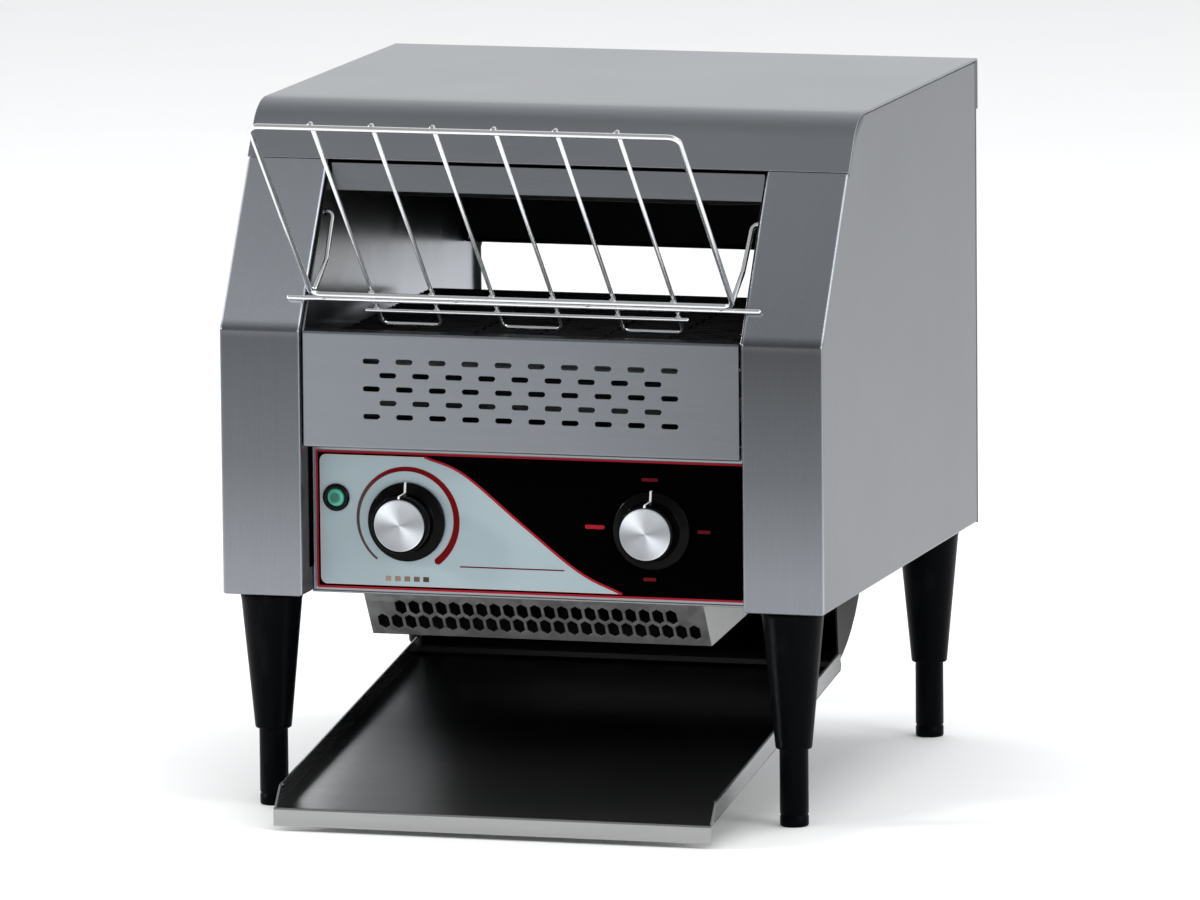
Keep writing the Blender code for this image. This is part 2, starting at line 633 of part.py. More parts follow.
# --- Controls ----------------------------------------------------------------------------------------
def knobs():
    """Two skirted knobs with spun metal faces, and the controls behind the panel."""
    front, seat, tail = 0.002, CONTROL_Y - 0.0008 - GAP, 0.0262
    grip, skirt, stem, face_radius = 0.0173, 0.0235, 0.003, 0.0154
    profile = [(0, front + 0.0008), (grip - 0.0015, front + 0.0008), (grip - 0.0015, front),
               (grip - 0.0009, front), (grip - 0.0004, front + 0.0008), (grip, seat - 0.004),
               (skirt - 0.0007, seat - 0.0034), (skirt, seat - 0.0026), (skirt, seat),
               (stem, seat), (stem, tail), (0, tail)]
    face = [(0, front + 0.0001), (face_radius - 0.0004, front + 0.0001), (face_radius, front + 0.0002),
            (face_radius, front + 0.0005), (0, front + 0.0005)]
    for name, x in (("colour_knob", -KNOB_X), ("selector_knob", KNOB_X)):
        turned(name, profile, (x, KNOB_Z), "Y", 36, BLACK_PLASTIC)
        turned(f"{name}_cap", face, (x, KNOB_Z), "Y", 36, SPUN)
    back = tail + GAP
    rod("speed_control", (-KNOB_X, KNOB_Z), 0.018, back, back + 0.022, "Y", 20, BLACK_PLASTIC)
    half = 0.020
    block("selector_switch", (KNOB_X - half, KNOB_X + half), (back, back + 0.030),
          (KNOB_Z - half, KNOB_Z + half), BLACK_PLASTIC)


def pilot_lamp():
    """The bezel with its barrel behind the panel, and the lens in it."""
    seat = CONTROL_Y - 0.0008 - GAP
    bezel = [(0.0082, seat), (0.0082, seat - 0.0012), (0.0074, seat - 0.0022), (0.0054, seat - 0.0022),
             (0.0054, 0.042), (0.0060, 0.042), (0.0060, seat)]
    turned("lamp_bezel", bezel, (LAMP_X, LAMP_Z), "Y", 24, BLACK_PLASTIC, ring=True)
    lens = [(0, seat - 0.0032), (0.0030, seat - 0.0029), (0.0048, seat - 0.0018), (0.0050, seat - 0.001),
            (0.0050, 0.038), (0, 0.038)]
    turned("lamp_lens", lens, (LAMP_X, LAMP_Z), "Y", 20, GREEN)


def cord_gland():
    """The screwed gland in the back panel, with its bore for the cord."""
    outer = REAR_PANEL_Y + SHEET
    nut, barrel, bore = 0.0095, 0.0060, 0.0036
    mouth, tail = outer + GLAND_LENGTH, REAR_PANEL_Y - 0.008
    profile = [(nut, outer + GAP), (nut, outer + 0.005), (nut - 0.002, outer + 0.0055), (nut - 0.0027, mouth),
               (bore, mouth), (bore, tail), (barrel, tail), (barrel, outer + GAP)]
    turned("cord_gland", profile, GLAND, "Y", 18, BLACK_PLASTIC, ring=True)


# --- Legs, tray and rack -----------------------------------------------------------------------------
def legs():
    """Four tapered sleeves under the casings, each with a foot tube that screws in and out."""
    top = BODY_BOTTOM - GAP
    bore = FOOT_RADIUS + GAP
    roof = FOOT_TOP + 0.022
    sleeve = [(0, top), (SLEEVE_TOP_RADIUS, top), (SLEEVE_BOTTOM_RADIUS, SLEEVE_BOTTOM), (bore, SLEEVE_BOTTOM),
              (bore, roof), (0, roof)]
    foot = [(0, 0), (FOOT_RADIUS - 0.001, 0), (FOOT_RADIUS, 0.001), (FOOT_RADIUS, FOOT_TOP), (0, FOOT_TOP)]
    for y, end in zip(LEG_Y, ("front", "rear")):
        for x, hand in ((-LEG_X, "left"), (LEG_X, "right")):
            turned(f"leg_sleeve_{end}_{hand}", sleeve, (x, y), "Z", 20, LEG_BLACK)
            turned(f"leg_foot_{end}_{hand}", foot, (x, y), "Z", 20, LEG_BLACK)


def toast_tray():
    """The sloping tray: a folded sheet with a lip at its front and a rim on each side."""
    rise = tan(TRAY_PITCH)
    surface = [(TRAY_FRONT, TRAY_FRONT_Z), (TRAY_REAR, TRAY_FRONT_Z + rise * (TRAY_REAR - TRAY_FRONT))]
    path = [(TRAY_FRONT, 0.003)] + surface
    origin = (0, *surface[0])
    tray = prism("toast_tray", folded(path, -SHEET), -TRAY_HALF, TRAY_HALF, "X", BRUSHED, origin)
    low, high = surface[0][1], surface[1][1]
    rim = [(TRAY_FRONT + 0.004, low + 0.004 * rise - SHEET / 2), (TRAY_REAR, high - SHEET / 2),
           (TRAY_REAR, high + TRAY_RIM), (TRAY_FRONT + 0.016, low + TRAY_RIM)]
    for side, name in ((-1, "left"), (1, "right")):
        fuse(tray, prism(f"tray_rim_{name}", rim, side * (TRAY_HALF - SHEET), side * TRAY_HALF))


def rack():
    """The bread rack of welded wires, which lifts about the pins in the oven walls."""
    axis = (0, *RACK_PIN)
    corners = [(side * RACK_HALF, *spot) for side, spot in
               ((-1, RACK_FOOT), (1, RACK_FOOT), (1, RACK_HEAD), (-1, RACK_HEAD))]
    wire("rack_frame", rounded(corners, 0.006, 4, closed=True), RACK_WIRE, CHROME, axis, closed=True)

    bar_ends = [(-PIVOT_BAR_HALF, *RACK_REST), (PIVOT_BAR_HALF, *RACK_REST)]
    wire("rack_pivot_bar", bar_ends, ARM_WIRE, CHROME, axis)
    for side, name in ((-1, "left"), (1, "right")):
        low, elbow = ((side * 0.1272, *spot) for spot in RACK_ARM)
        path = [low, elbow, (side * 0.1284, *RACK_PIN), (side * 0.139, *RACK_PIN)]
        wire(f"rack_arm_{name}", rounded(path, 0.004, 4), ARM_WIRE, CHROME, axis)

    lean = Vector((0, RACK_HEAD[0] - RACK_FOOT[0], RACK_HEAD[1] - RACK_FOOT[1])).normalized()
    lift = Vector((0, lean.z, -lean.y)) * (RACK_WIRE + ROD_WIRE + GAP)
    head = Vector((0, *RACK_HEAD)) + lift
    foot = Vector((0, *RACK_FOOT)) + lift
    tail = Vector((0, *ROD_TAIL))
    for first, name in ((-2.5, "left"), (-0.5, "middle"), (1.5, "right")):
        shifts = [Vector((k * ROD_PITCH, 0, 0)) for k in (first, first + 1)]
        path = [p + shifts[0] for p in (head, foot, tail)] + [p + shifts[1] for p in (tail, foot, head)]
        wire(f"rack_wire_{name}", rounded(path, 0.0045, 4), ROD_WIRE, CHROME, axis)

    fall = (tail - foot).normalized()
    under = Vector((0, fall.z, -fall.y)) * (2 * ROD_WIRE + GAP)
    centre = foot + fall * 0.0145 + under
    ends = [centre + Vector((x, 0, 0)) for x in (-LOWER_BAR_HALF, LOWER_BAR_HALF)]
    wire("rack_lower_bar", ends, ROD_WIRE, CHROME, axis)


def main():
    """Clears the scene and builds every piece."""
    for item in list(bpy.data.objects):
        bpy.data.objects.remove(item, do_unlink=True)
    toaster = bpy.data.objects.new("toaster", None)
    toaster.location = (0, -CENTRE_Y, 0)
    bpy.context.collection.objects.link(toaster)
    for build in (side_casings, top_cover, rear_panel, base_pan, vent_panel, control_panel, front_header,
                  oven_walls, oven_sheets, lower_vent_pan, rear_chute, heaters, conveyor_belt, conveyor_drive,
                  chain_drive, fan, knobs, pilot_lamp, cord_gland, legs, toast_tray, rack):
        build()


main()
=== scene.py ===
"""Electric conveyor toaster: the finished surfaces of every visible piece, with a plain studio round it.

Metres, +Z up.  The front with the controls and the tray faces -Y, and +X is on the right of somebody who
stands before it.  Shapes are drawn in depths from the front face of the two columns, as a sheet-metal
drawing of the housing would be, and `solid` shifts them to where the frame holds that face.
"""

import json
import logging
from collections.abc import Iterable, Sequence
from dataclasses import dataclass
from enum import Enum
from math import cos, hypot, pi, radians, sin, tan

import bmesh
import bpy
from mathutils import Matrix, Vector


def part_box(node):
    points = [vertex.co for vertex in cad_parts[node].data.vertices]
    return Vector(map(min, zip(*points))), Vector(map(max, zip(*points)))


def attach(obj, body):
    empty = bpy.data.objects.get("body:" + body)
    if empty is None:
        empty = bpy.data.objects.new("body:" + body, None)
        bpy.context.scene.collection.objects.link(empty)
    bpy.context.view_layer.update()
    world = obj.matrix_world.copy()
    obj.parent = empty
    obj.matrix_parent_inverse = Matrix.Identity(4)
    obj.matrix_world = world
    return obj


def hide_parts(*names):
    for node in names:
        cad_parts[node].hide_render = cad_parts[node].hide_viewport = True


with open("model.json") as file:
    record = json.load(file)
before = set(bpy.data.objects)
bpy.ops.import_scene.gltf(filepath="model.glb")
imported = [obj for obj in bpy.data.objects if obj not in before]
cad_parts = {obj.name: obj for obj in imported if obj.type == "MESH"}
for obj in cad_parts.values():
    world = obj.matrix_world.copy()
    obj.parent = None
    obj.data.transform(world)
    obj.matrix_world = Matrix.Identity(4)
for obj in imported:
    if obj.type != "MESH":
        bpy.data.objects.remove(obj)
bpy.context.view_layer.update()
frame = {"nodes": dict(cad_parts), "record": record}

LOG = logging.getLogger("toaster")
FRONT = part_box("side_casing_left")[0].y      # the front face of the columns

Point = tuple[float, float]
Colour = tuple[float, float, float]
Scale = tuple[float, float, float]
Piece = bpy.types.Object


class Axis(Enum):
    """A direction of the toaster, as the index of its coordinate."""

    X = 0
    Y = 1
    Z = 2

    def spot(self, u: float, v: float, along: float) -> Vector:
        """A point from two coordinates across the axis and one along it."""
        return Vector({Axis.X: (along, u, v), Axis.Y: (u, along, v), Axis.Z: (u, v, along)}[self])

    def stretch(self, across: float, along: float) -> Scale:
        """Pattern scales of a grain that runs along this axis."""
        return tuple(along if self.value == index else across for index in range(3))


# --- Shader trees ------------------------------------------------------------------------------------
class Signal:
    """A socket that a node gives out; arithmetic on it adds Math nodes."""

    def __init__(self, shading: "Shading", socket: bpy.types.NodeSocket) -> None:
        """Holds the socket and the tree that it belongs to."""
        self.shading = shading
        self.socket = socket

    def _math(self, operation: str, first: "float | Signal", second: "float | Signal" = 0.0) -> "Signal":
        """One Math node."""
        return self.shading.node("Math", {"operation": operation}, {0: first, 1: second})

    def __add__(self, other: "float | Signal") -> "Signal":
        """Sum."""
        return self._math("ADD", self, other)

    def __radd__(self, other: float) -> "Signal":
        """Sum with a number on the left."""
        return self._math("ADD", other, self)

    def __sub__(self, other: "float | Signal") -> "Signal":
        """Difference."""
        return self._math("SUBTRACT", self, other)

    def __rsub__(self, other: float) -> "Signal":
        """Difference from a number on the left."""
        return self._math("SUBTRACT", other, self)

    def __mul__(self, other: "float | Signal") -> "Signal":
        """Product."""
        return self._math("MULTIPLY", self, other)

    def __rmul__(self, other: float) -> "Signal":
        """Product with a number on the left."""
        return self._math("MULTIPLY", other, self)

    def __truediv__(self, other: "float | Signal") -> "Signal":
        """Quotient."""
        return self._math("DIVIDE", self, other)

    def __pow__(self, other: "float | Signal") -> "Signal":
        """Power."""
        return self._math("POWER", self, other)

    def __abs__(self) -> "Signal":
        """Size without sign."""
        return self._math("ABSOLUTE", self)

    def at_least(self, floor: float) -> "Signal":
        """The larger of the signal and a number."""
        return self._math("MAXIMUM", self, floor)

    def cosine(self) -> "Signal":
        """Cosine of an angle in radians."""
        return self._math("COSINE", self)

    def sine(self) -> "Signal":
        """Sine of an angle in radians."""
        return self._math("SINE", self)

    def angle_from(self, across: "Signal") -> "Signal":
        """The angle of a point whose height is this signal and whose width is the other."""
        return self._math("ARCTAN2", self, across)

    def step(self, low: float, high: float) -> "Signal":
        """A smooth step from 0 at the low value to 1 at the high one."""
        settings = {"interpolation_type": "SMOOTHSTEP"}
        return self.shading.node("MapRange", settings, {"Value": self, "From Min": low, "From Max": high})


class Shading:
    """The node tree of a material or of the world, filled by one node-making method."""

    def __init__(self, tree: bpy.types.NodeTree) -> None:
        """Empties the tree.

        Args:
            tree: the tree to fill.
        """
        tree.nodes.clear()
        self.tree = tree

    def node(self, kind: str, settings: dict | None = None, sockets: dict | None = None,
             output: int | str = 0) -> Signal:
        """Adds one node.

        Args:
            kind: the node's type, without its leading "ShaderNode".
            settings: its properties, set before its sockets; "stops" fills a colour ramp.
            sockets: a value or a signal for each input, by name or by index.
            output: the output to hand back.

        Returns:
            The chosen output as a signal.
        """
        made = self.tree.nodes.new(f"ShaderNode{kind}")
        for key, value in (settings or {}).items():
            if key == "stops":
                self._fill_ramp(made.color_ramp, value)
            else:
                setattr(made, key, value)
        for key, value in (sockets or {}).items():
            if isinstance(value, Signal):
                self.tree.links.new(value.socket, made.inputs[key])
            else:
                made.inputs[key].default_value = value
        return Signal(self, made.outputs[output]) if made.outputs else None

    @staticmethod
    def _fill_ramp(ramp: bpy.types.ColorRamp, stops: Sequence[tuple[float, float]]) -> None:
        """Gives a ramp grey stops, as (place, brightness)."""
        while len(ramp.elements) < len(stops):
            ramp.elements.new(1.0)
        for element, (place, level) in zip(ramp.elements, stops):
            element.position = place
            element.color = (level, level, level, 1.0)

    def position(self) -> Signal:
        """Where the surface is, in the piece's own metres."""
        return self.node("TexCoord", output="Object")

    def part(self, vector: Signal, axis: Axis) -> Signal:
        """One coordinate of a vector."""
        return self.node("SeparateXYZ", None, {0: vector}, axis.value)

    def about(self, centre: Point) -> tuple[Signal, Signal]:
        """How far to the right of a centre, and how far over it, each point of the surface is."""
        spot = self.position()
        return self.part(spot, Axis.X) - centre[0], self.part(spot, Axis.Z) - centre[1]

    def noise(self, scale: float | Scale, detail: float = 2.0, roughness: float = 0.5) -> Signal:
        """Noise from 0 to 1, with one scale or one for each axis."""
        scale = scale if isinstance(scale, tuple) else (scale, scale, scale)
        spot = self.node("VectorMath", {"operation": "MULTIPLY"}, {0: self.position(), 1: scale})
        sockets = {"Vector": spot, "Scale": 1.0, "Detail": detail, "Roughness": roughness}
        return self.node("TexNoise", None, sockets)

    def scaled(self, colour: "Colour | Signal", level: Signal) -> Signal:
        """A colour made lighter or darker."""
        return self.node("VectorMath", {"operation": "SCALE"}, {0: colour, 3: level})

    def mix(self, factor: Signal, first: "Colour | Signal", second: "Colour | Signal") -> Signal:
        """A colour between two."""
        pair = [value if isinstance(value, Signal) else (*value, 1.0) for value in (first, second)]
        return self.node("Mix", {"data_type": "RGBA"}, {0: factor, 6: pair[0], 7: pair[1]}, 2)

    def bump(self, height: Signal, distance: float, strength: float = 1.0) -> Signal:
        """A normal from a height of 0 to 1 that stands for a distance in metres."""
        return self.node("Bump", None, {"Height": height, "Distance": distance, "Strength": strength})

    def surface(self, sockets: dict) -> None:
        """Ends a material's tree with a Principled shader."""
        shader = self.node("BsdfPrincipled", None, sockets)
        self.node("OutputMaterial", None, {"Surface": shader})


# --- Finishes ----------------------------------------------------------------------------------------
@dataclass(frozen=True)
class Fade:
    """A slow change of brightness along one axis: painted light and shade, laid into a finish's colour."""

    axis: Axis
    low: float
    high: float
    stops: tuple[tuple[float, float], ...]

    def level(self, shading: Shading) -> Signal:
        """The painted brightness at each point."""
        place = shading.part(shading.position(), self.axis)
        part = (place - self.low) / (self.high - self.low)
        return shading.node("ValToRGB", {"stops": self.stops}, {0: part})


@dataclass(frozen=True)
class Finish:
    """What every finish shares: it fills a material's tree, once for each different set of values."""

    colour: Colour

    def material(self) -> bpy.types.Material:
        """The material, made the first time that it is asked for."""
        name = f"{type(self).__name__}_{abs(hash_text(repr(self))) % 10 ** 6:06d}"
        made = bpy.data.materials.get(name)
        if made is None:
            made = bpy.data.materials.new(name)
            made.use_nodes = True
            made.diffuse_color = (*self.colour, 1.0)
            self.fill(Shading(made.node_tree))
        return made

    def fill(self, shading: Shading) -> None:
        """Adds the finish's nodes."""
        raise NotImplementedError


def hash_text(text: str) -> int:
    """The same number for the same text on each run."""
    total = 0
    for letter in text:
        total = (total * 131 + ord(letter)) % 2147483647
    return total


@dataclass(frozen=True)
class BrushedSteel(Finish):
    """Stainless sheet with a straight grain, a few smudges and a satin shine, and, where a ramp is given,
    painted light and shade in its colour.
    """

    grain: Axis = Axis.Z
    roughness: float = 0.30
    fade: Fade | None = None
    streak: float = 0.10

    def fill(self, shading: Shading) -> None:
        """Grain in the colour, the roughness and the surface."""
        fine = shading.noise(self.grain.stretch(2600.0, 22.0), 3.0, 0.6)
        broad = shading.noise(self.grain.stretch(260.0, 4.0))
        cloud = shading.noise(7.0)
        level = 1.0 + (fine - 0.5) * self.streak * 1.3 + (broad - 0.5) * self.streak + (cloud - 0.5) * 0.08
        # painted light and shade: the ramp lightens or darkens the colour along one axis
        if self.fade:
            level = level * self.fade.level(shading)
        shading.surface({
            "Base Color": shading.scaled(self.colour, level),
            "Metallic": 1.0,
            "Roughness": self.roughness + (fine - 0.5) * 0.12 + (cloud - 0.5) * 0.10,
            "Normal": shading.bump(fine, 0.00002),
        })


@dataclass(frozen=True)
class ColumnSteel(Finish):
    """Side steel with a finer polished front; painted light and shade make the front brighter over the knee
    and darkest just under it, and a painted highlight runs along its bend.
    """

    # front and side: ramps of painted light and shade up the column; the side's ramp makes it darker towards
    # the bottom
    front: Fade = Fade(Axis.Z, 0.0, 1.0, ((0.0, 1.0), (1.0, 1.0)))
    side: Fade = Fade(Axis.Z, 0.128, 0.412, ((0.0, 0.73), (0.5, 0.80), (1.0, 0.90)))
    knee: float = 0.286
    lean: float = radians(57.3)

    def fill(self, shading: Shading) -> None:
        """Painted light and shade on the front, kept to the face and its leaning part, with a painted
        highlight along the bend.
        """
        fine = shading.noise(Axis.Z.stretch(2600.0, 22.0), 3.0, 0.6)
        broad = shading.noise(Axis.Z.stretch(240.0, 4.0))
        cloud = shading.noise(7.0)
        spot = shading.position()
        over_knee = (shading.part(spot, Axis.Z) - self.knee).at_least(0.0)
        behind = shading.part(spot, Axis.Y) - FRONT - over_knee * (1.0 / tan(self.lean))
        face = 1.0 - behind.step(0.0006, 0.0030)
        # painted highlight: a thin bright band along the bend between the side and the front
        edge = behind.step(0.0003, 0.0009) * (1.0 - behind.step(0.0012, 0.0022))
        grain = 1.0 + (fine - 0.5) * 0.09 + (broad - 0.5) * 0.07 + (cloud - 0.5) * 0.06
        painted_side_shade = self.side.level(shading)
        level = grain * (painted_side_shade + face * (self.front.level(shading) * 3.0 - painted_side_shade) + edge * 0.8)
        shading.surface({
            "Base Color": shading.scaled(self.colour, level),
            "Metallic": 1.0,
            "Roughness": 0.34 + (fine - 0.5) * 0.12 + (cloud - 0.5) * 0.08 - face * 0.05,
            "Normal": shading.bump(fine, 0.00002),
        })


@dataclass(frozen=True)
class PolishedSheet(Finish):
    """Bright sheet inside the oven, with smudges and a touch of heat colour."""

    roughness: float = 0.22
    fade: Fade | None = None

    def fill(self, shading: Shading) -> None:
        """Mirror with soft smudges, straw coloured where it ran hot, and painted shade from the ramp where
        one is given.
        """
        smudge = shading.noise((30.0, 30.0, 14.0), 4.0, 0.6)
        drawn = shading.noise((900.0, 14.0, 900.0))
        heat = shading.noise((6.0, 6.0, 9.0)).step(0.45, 0.75)
        level = 0.94 + (drawn - 0.5) * 0.06 + (smudge - 0.5) * 0.12
        # painted shade: the ramp darkens the colour along one axis
        if self.fade:
            level = level * self.fade.level(shading)
        straw = tuple(value * tint for value, tint in zip(self.colour, (1.0, 0.94, 0.82)))
        shading.surface({
            "Base Color": shading.scaled(shading.mix(heat * 0.6, self.colour, straw), level),
            "Metallic": 1.0,
            "Roughness": self.roughness + (smudge - 0.5) * 0.22,
            "Normal": shading.bump(smudge, 0.00003),
        })


@dataclass(frozen=True)
class PlatedWire(Finish):
    """Bright nickel or chrome plate on drawn wire."""

    roughness: float = 0.16

    def fill(self, shading: Shading) -> None:
        """Bright metal with a fine mottle left by the plating bath."""
        mottle = shading.noise(420.0, 3.0)
        stain = shading.noise(24.0).step(0.55, 0.80)
        shading.surface({
            "Base Color": shading.scaled(self.colour, 1.0 - stain * 0.16 + (mottle - 0.5) * 0.08),
            "Metallic": 1.0,
            "Roughness": self.roughness + stain * 0.14 + (mottle - 0.5) * 0.06,
            "Normal": shading.bump(mottle, 0.00003),
        })


@dataclass(frozen=True)
class DullSheet(Finish):
    """Galvanised or aluminised sheet with its spangle."""

    roughness: float = 0.42

    def fill(self, shading: Shading) -> None:
        """Angular patches that differ a little in brightness and gloss."""
        cells = {"Vector": shading.position(), "Scale": 190.0}
        spangle = shading.node("TexVoronoi", {"feature": "F1"}, cells, "Color")
        patch = shading.part(spangle, Axis.X)
        grime = shading.noise(18.0, 4.0)
        shading.surface({
            "Base Color": shading.scaled(self.colour, 0.92 + (patch - 0.5) * 0.16 + (grime - 0.5) * 0.2),
            "Metallic": 1.0,
            "Roughness": self.roughness + (patch - 0.5) * 0.12,
            "Normal": shading.bump(grime, 0.0001),
        })


@dataclass(frozen=True)
class Moulding(Finish):
    """Moulded plastic or powder coat with a fine texture."""

    roughness: float = 0.38
    texture: float = 0.00003
    shine: float = 0.15

    def fill(self, shading: Shading) -> None:
        """Fine moulded grain, faint scuffs and dust in the colour."""
        grain = shading.noise(1500.0, 2.0, 0.6)
        scuff = shading.noise((60.0, 60.0, 20.0), 4.0, 0.6).step(0.52, 0.78)
        dusty = tuple(value * 1.6 + 0.006 for value in self.colour)
        shading.surface({
            "Base Color": shading.mix(scuff * 0.6 + (grain - 0.5) * 0.3, self.colour, dusty),
            "Roughness": self.roughness + scuff * 0.14 + (grain - 0.5) * 0.10,
            "Specular IOR Level": self.shine,
            "Normal": shading.bump(grain, self.texture),
        })


@dataclass(frozen=True)
class PrintedFilm(Finish):
    """Ink under a thin clear film."""

    roughness: float = 0.30
    metallic: float = 0.0
    mottle: float = 0.05
    shine: float = 0.30

    def fill(self, shading: Shading) -> None:
        """Even ink with a trace of screen grain and the film's soft orange peel."""
        screen = shading.noise(1800.0)
        peel = shading.noise(110.0, 2.0)
        sweep = shading.noise(8.0)
        level = 1.0 + (screen - 0.5) * self.mottle + (sweep - 0.5) * self.mottle * 1.4
        shading.surface({
            "Base Color": shading.scaled(self.colour, level),
            "Metallic": self.metallic,
            "Specular IOR Level": self.shine,
            "Roughness": self.roughness + (peel - 0.5) * 0.08,
            "Normal": shading.bump(peel, 0.00002),
        })


@dataclass(frozen=True)
class DialInk(Finish):
    """The printed ring, whose colour warms on its way round the knob."""

    cool: Colour = (0.085, 0.055, 0.055)
    centre: Point = (0.0, 0.0)

    def fill(self, shading: Shading) -> None:
        """Brown at the thin end and red from the upper left onwards."""
        across, height = shading.about(self.centre)
        turned = height.angle_from(across)
        warm = 1.0 - turned.step(1.9, 2.9) - (0.0 - turned).step(1.9, 2.2)
        screen = shading.noise(1800.0)
        shading.surface({
            "Base Color": shading.scaled(shading.mix(warm, self.cool, self.colour), 0.95 + screen * 0.1),
            "Specular IOR Level": 0.05,
            "Roughness": 0.28 + screen * 0.06,
        })


@dataclass(frozen=True)
class SpunMetal(Finish):
    """A turned aluminium face with fine rings; the bright rays from its centre are a painted highlight in its
    colour.
    """

    centre: Point = (0.0, 0.0)
    bright_at: float = radians(135)

    def fill(self, shading: Shading) -> None:
        """Rings in the surface, and in the colour a pair of painted highlight rays and a pair of painted
        shade rays.
        """
        across, height = shading.about(self.centre)
        radius = (across * across + height * height) ** 0.5
        ring = (radius * 21000.0).sine() * 0.5 + 0.5
        turned = height.angle_from(across)
        # painted highlight: a pair of bright rays across the face; painted shade: a pair of dark rays
        bright = (abs((turned - self.bright_at).cosine()) ** 7.0)
        dark = (abs((turned - radians(8)).cosine()) ** 9.0)
        wobble = shading.noise(500.0)
        level = 0.62 + bright * 0.54 - dark * 0.18 + (ring - 0.5) * 0.05 + (wobble - 0.5) * 0.05
        shading.surface({
            "Base Color": shading.scaled(self.colour, level),
            "Metallic": 1.0,
            "Roughness": 0.34 - bright * 0.06 + (ring - 0.5) * 0.08,
            "Normal": shading.bump(ring, 0.000012),
        })


@dataclass(frozen=True)
class LampLens(Finish):
    """Clear green plastic with moulded rings, faintly lit."""

    centre: Point = (0.0, 0.0)

    def fill(self, shading: Shading) -> None:
        """A darker middle, a lighter ring and a weak glow."""
        across, height = shading.about(self.centre)
        radius = (across * across + height * height) ** 0.5
        ridge = (radius * 6500.0).sine() * 0.5 + 0.5
        rim = radius.step(0.0022, 0.0046)
        pale = (0.10, 0.52, 0.38)
        body = shading.mix(rim * 0.8 + ridge * 0.12, self.colour, pale)
        shading.surface({
            "Base Color": body,
            "Roughness": 0.12 + ridge * 0.08,
            "Emission Color": body,
            "Emission Strength": 0.22,
            "Normal": shading.bump(ridge, 0.0001),
        })


@dataclass(frozen=True)
class MachinedMetal(Finish):
    """Turned or milled metal under a thin oily film."""

    roughness: float = 0.36
    metallic: float = 1.0
    grime: float = 0.35

    def fill(self, shading: Shading) -> None:
        """Tool marks across, with darker patches of old oil."""
        marks = shading.noise((1600.0, 160.0, 160.0), 2.0)
        oil = shading.noise(55.0, 4.0, 0.6).step(0.40, 0.72)
        shading.surface({
            "Base Color": shading.scaled(self.colour, 1.0 - oil * self.grime + (marks - 0.5) * 0.14),
            "Metallic": self.metallic,
            "Roughness": self.roughness + (marks - 0.5) * 0.10 - oil * 0.08,
            "Normal": shading.bump(marks, 0.00004),
        })


# painted shade: the cap's colour dips darker across its front bend
CAP_PAINTED_SHADE = Fade(Axis.Y, -0.0705, -0.0205, ((0.0, 0.92), (0.25, 0.90), (0.5, 0.60), (0.72, 0.64), (1.0, 0.84)))
CAP_STEEL = BrushedSteel((0.350, 0.366, 0.392), Axis.X, 0.34, CAP_PAINTED_SHADE, 0.08)
PANEL_STEEL = BrushedSteel((0.270, 0.285, 0.305), Axis.X, 0.30, streak=0.08)
# painted light: the louvred sheet is lightest at the left and darker towards the right
VENT_STEEL = BrushedSteel((0.236, 0.252, 0.274), Axis.X, 0.30,
                          Fade(Axis.X, -0.133, 0.133, ((0.0, 1.0), (0.6, 0.88), (1.0, 0.70))), 0.08)
# painted shade: the strip under the cap gets a much darker tone than the other steel sheets, for the shade
# under the cap's edge
HEADER_PAINTED_SHADE_STEEL = BrushedSteel((0.150, 0.158, 0.170), Axis.X, 0.30)
# painted shade: the chute's steel is near black, for the shade it sits in behind the tray
CHUTE_PAINTED_SHADE_STEEL = BrushedSteel((0.016, 0.017, 0.016), Axis.X, 0.34)
BACK_STEEL = BrushedSteel((0.30, 0.315, 0.335), Axis.X, 0.34)
RACK_WIRE = PlatedWire((0.80, 0.81, 0.82))
PAN_SHEET = DullSheet((0.36, 0.36, 0.36))
BASE_SHEET = DullSheet((0.30, 0.31, 0.32))
BLACK_MOULDING = Moulding((0.003, 0.003, 0.004), 0.26, 0.00001, 0.12)
LEG_MOULDING = Moulding((0.0010, 0.0013, 0.0022), 0.34, shine=0.03)
DRIVE_STEEL = MachinedMetal((0.35, 0.35, 0.36))
BUSH_BRONZE = MachinedMetal((0.45, 0.30, 0.16), 0.40)
MOTOR_CAST = MachinedMetal((0.42, 0.43, 0.44), 0.46, 1.0, 0.25)
HEATER_SHEATH = MachinedMetal((0.06, 0.06, 0.062), 0.55, 0.6, 0.5)
BELT_WIRE = MachinedMetal((0.035, 0.035, 0.037), 0.34, 1.0, 0.5)
# painted shade: a near-black sheet for the dark depth of the oven, on the back baffle and the upper reflector
PAINTED_SHADE_SHEET = MachinedMetal((0.003, 0.003, 0.0035), 0.75, 0.2, 0.5)
SCREW_STEEL = MachinedMetal((0.50, 0.51, 0.52), 0.28, 1.0, 0.2)
CASING_STEEL = (0.225, 0.236, 0.256)
CASING_SPAN = (0.128, 0.412)                 # heights of a casing's foot and top
# painted light and shade up each column's front: lighter low down, darkest just under the knee, bright over
# it; the right column is a darker shaded copy over its leaning face
COLUMN_PAINTED_LIGHT_STEEL = {
    "left": ColumnSteel(CASING_STEEL, Fade(Axis.Z, *CASING_SPAN, (
        (0.0, 0.38), (0.06, 0.36), (0.28, 0.22), (0.54, 0.16), (0.56, 0.26), (0.575, 0.84), (0.90, 0.62)))),
    "right": ColumnSteel(CASING_STEEL, Fade(Axis.Z, *CASING_SPAN, (
        (0.0, 0.35), (0.06, 0.34), (0.28, 0.20), (0.54, 0.115), (0.56, 0.18), (0.575, 0.48), (0.90, 0.52)))),
}
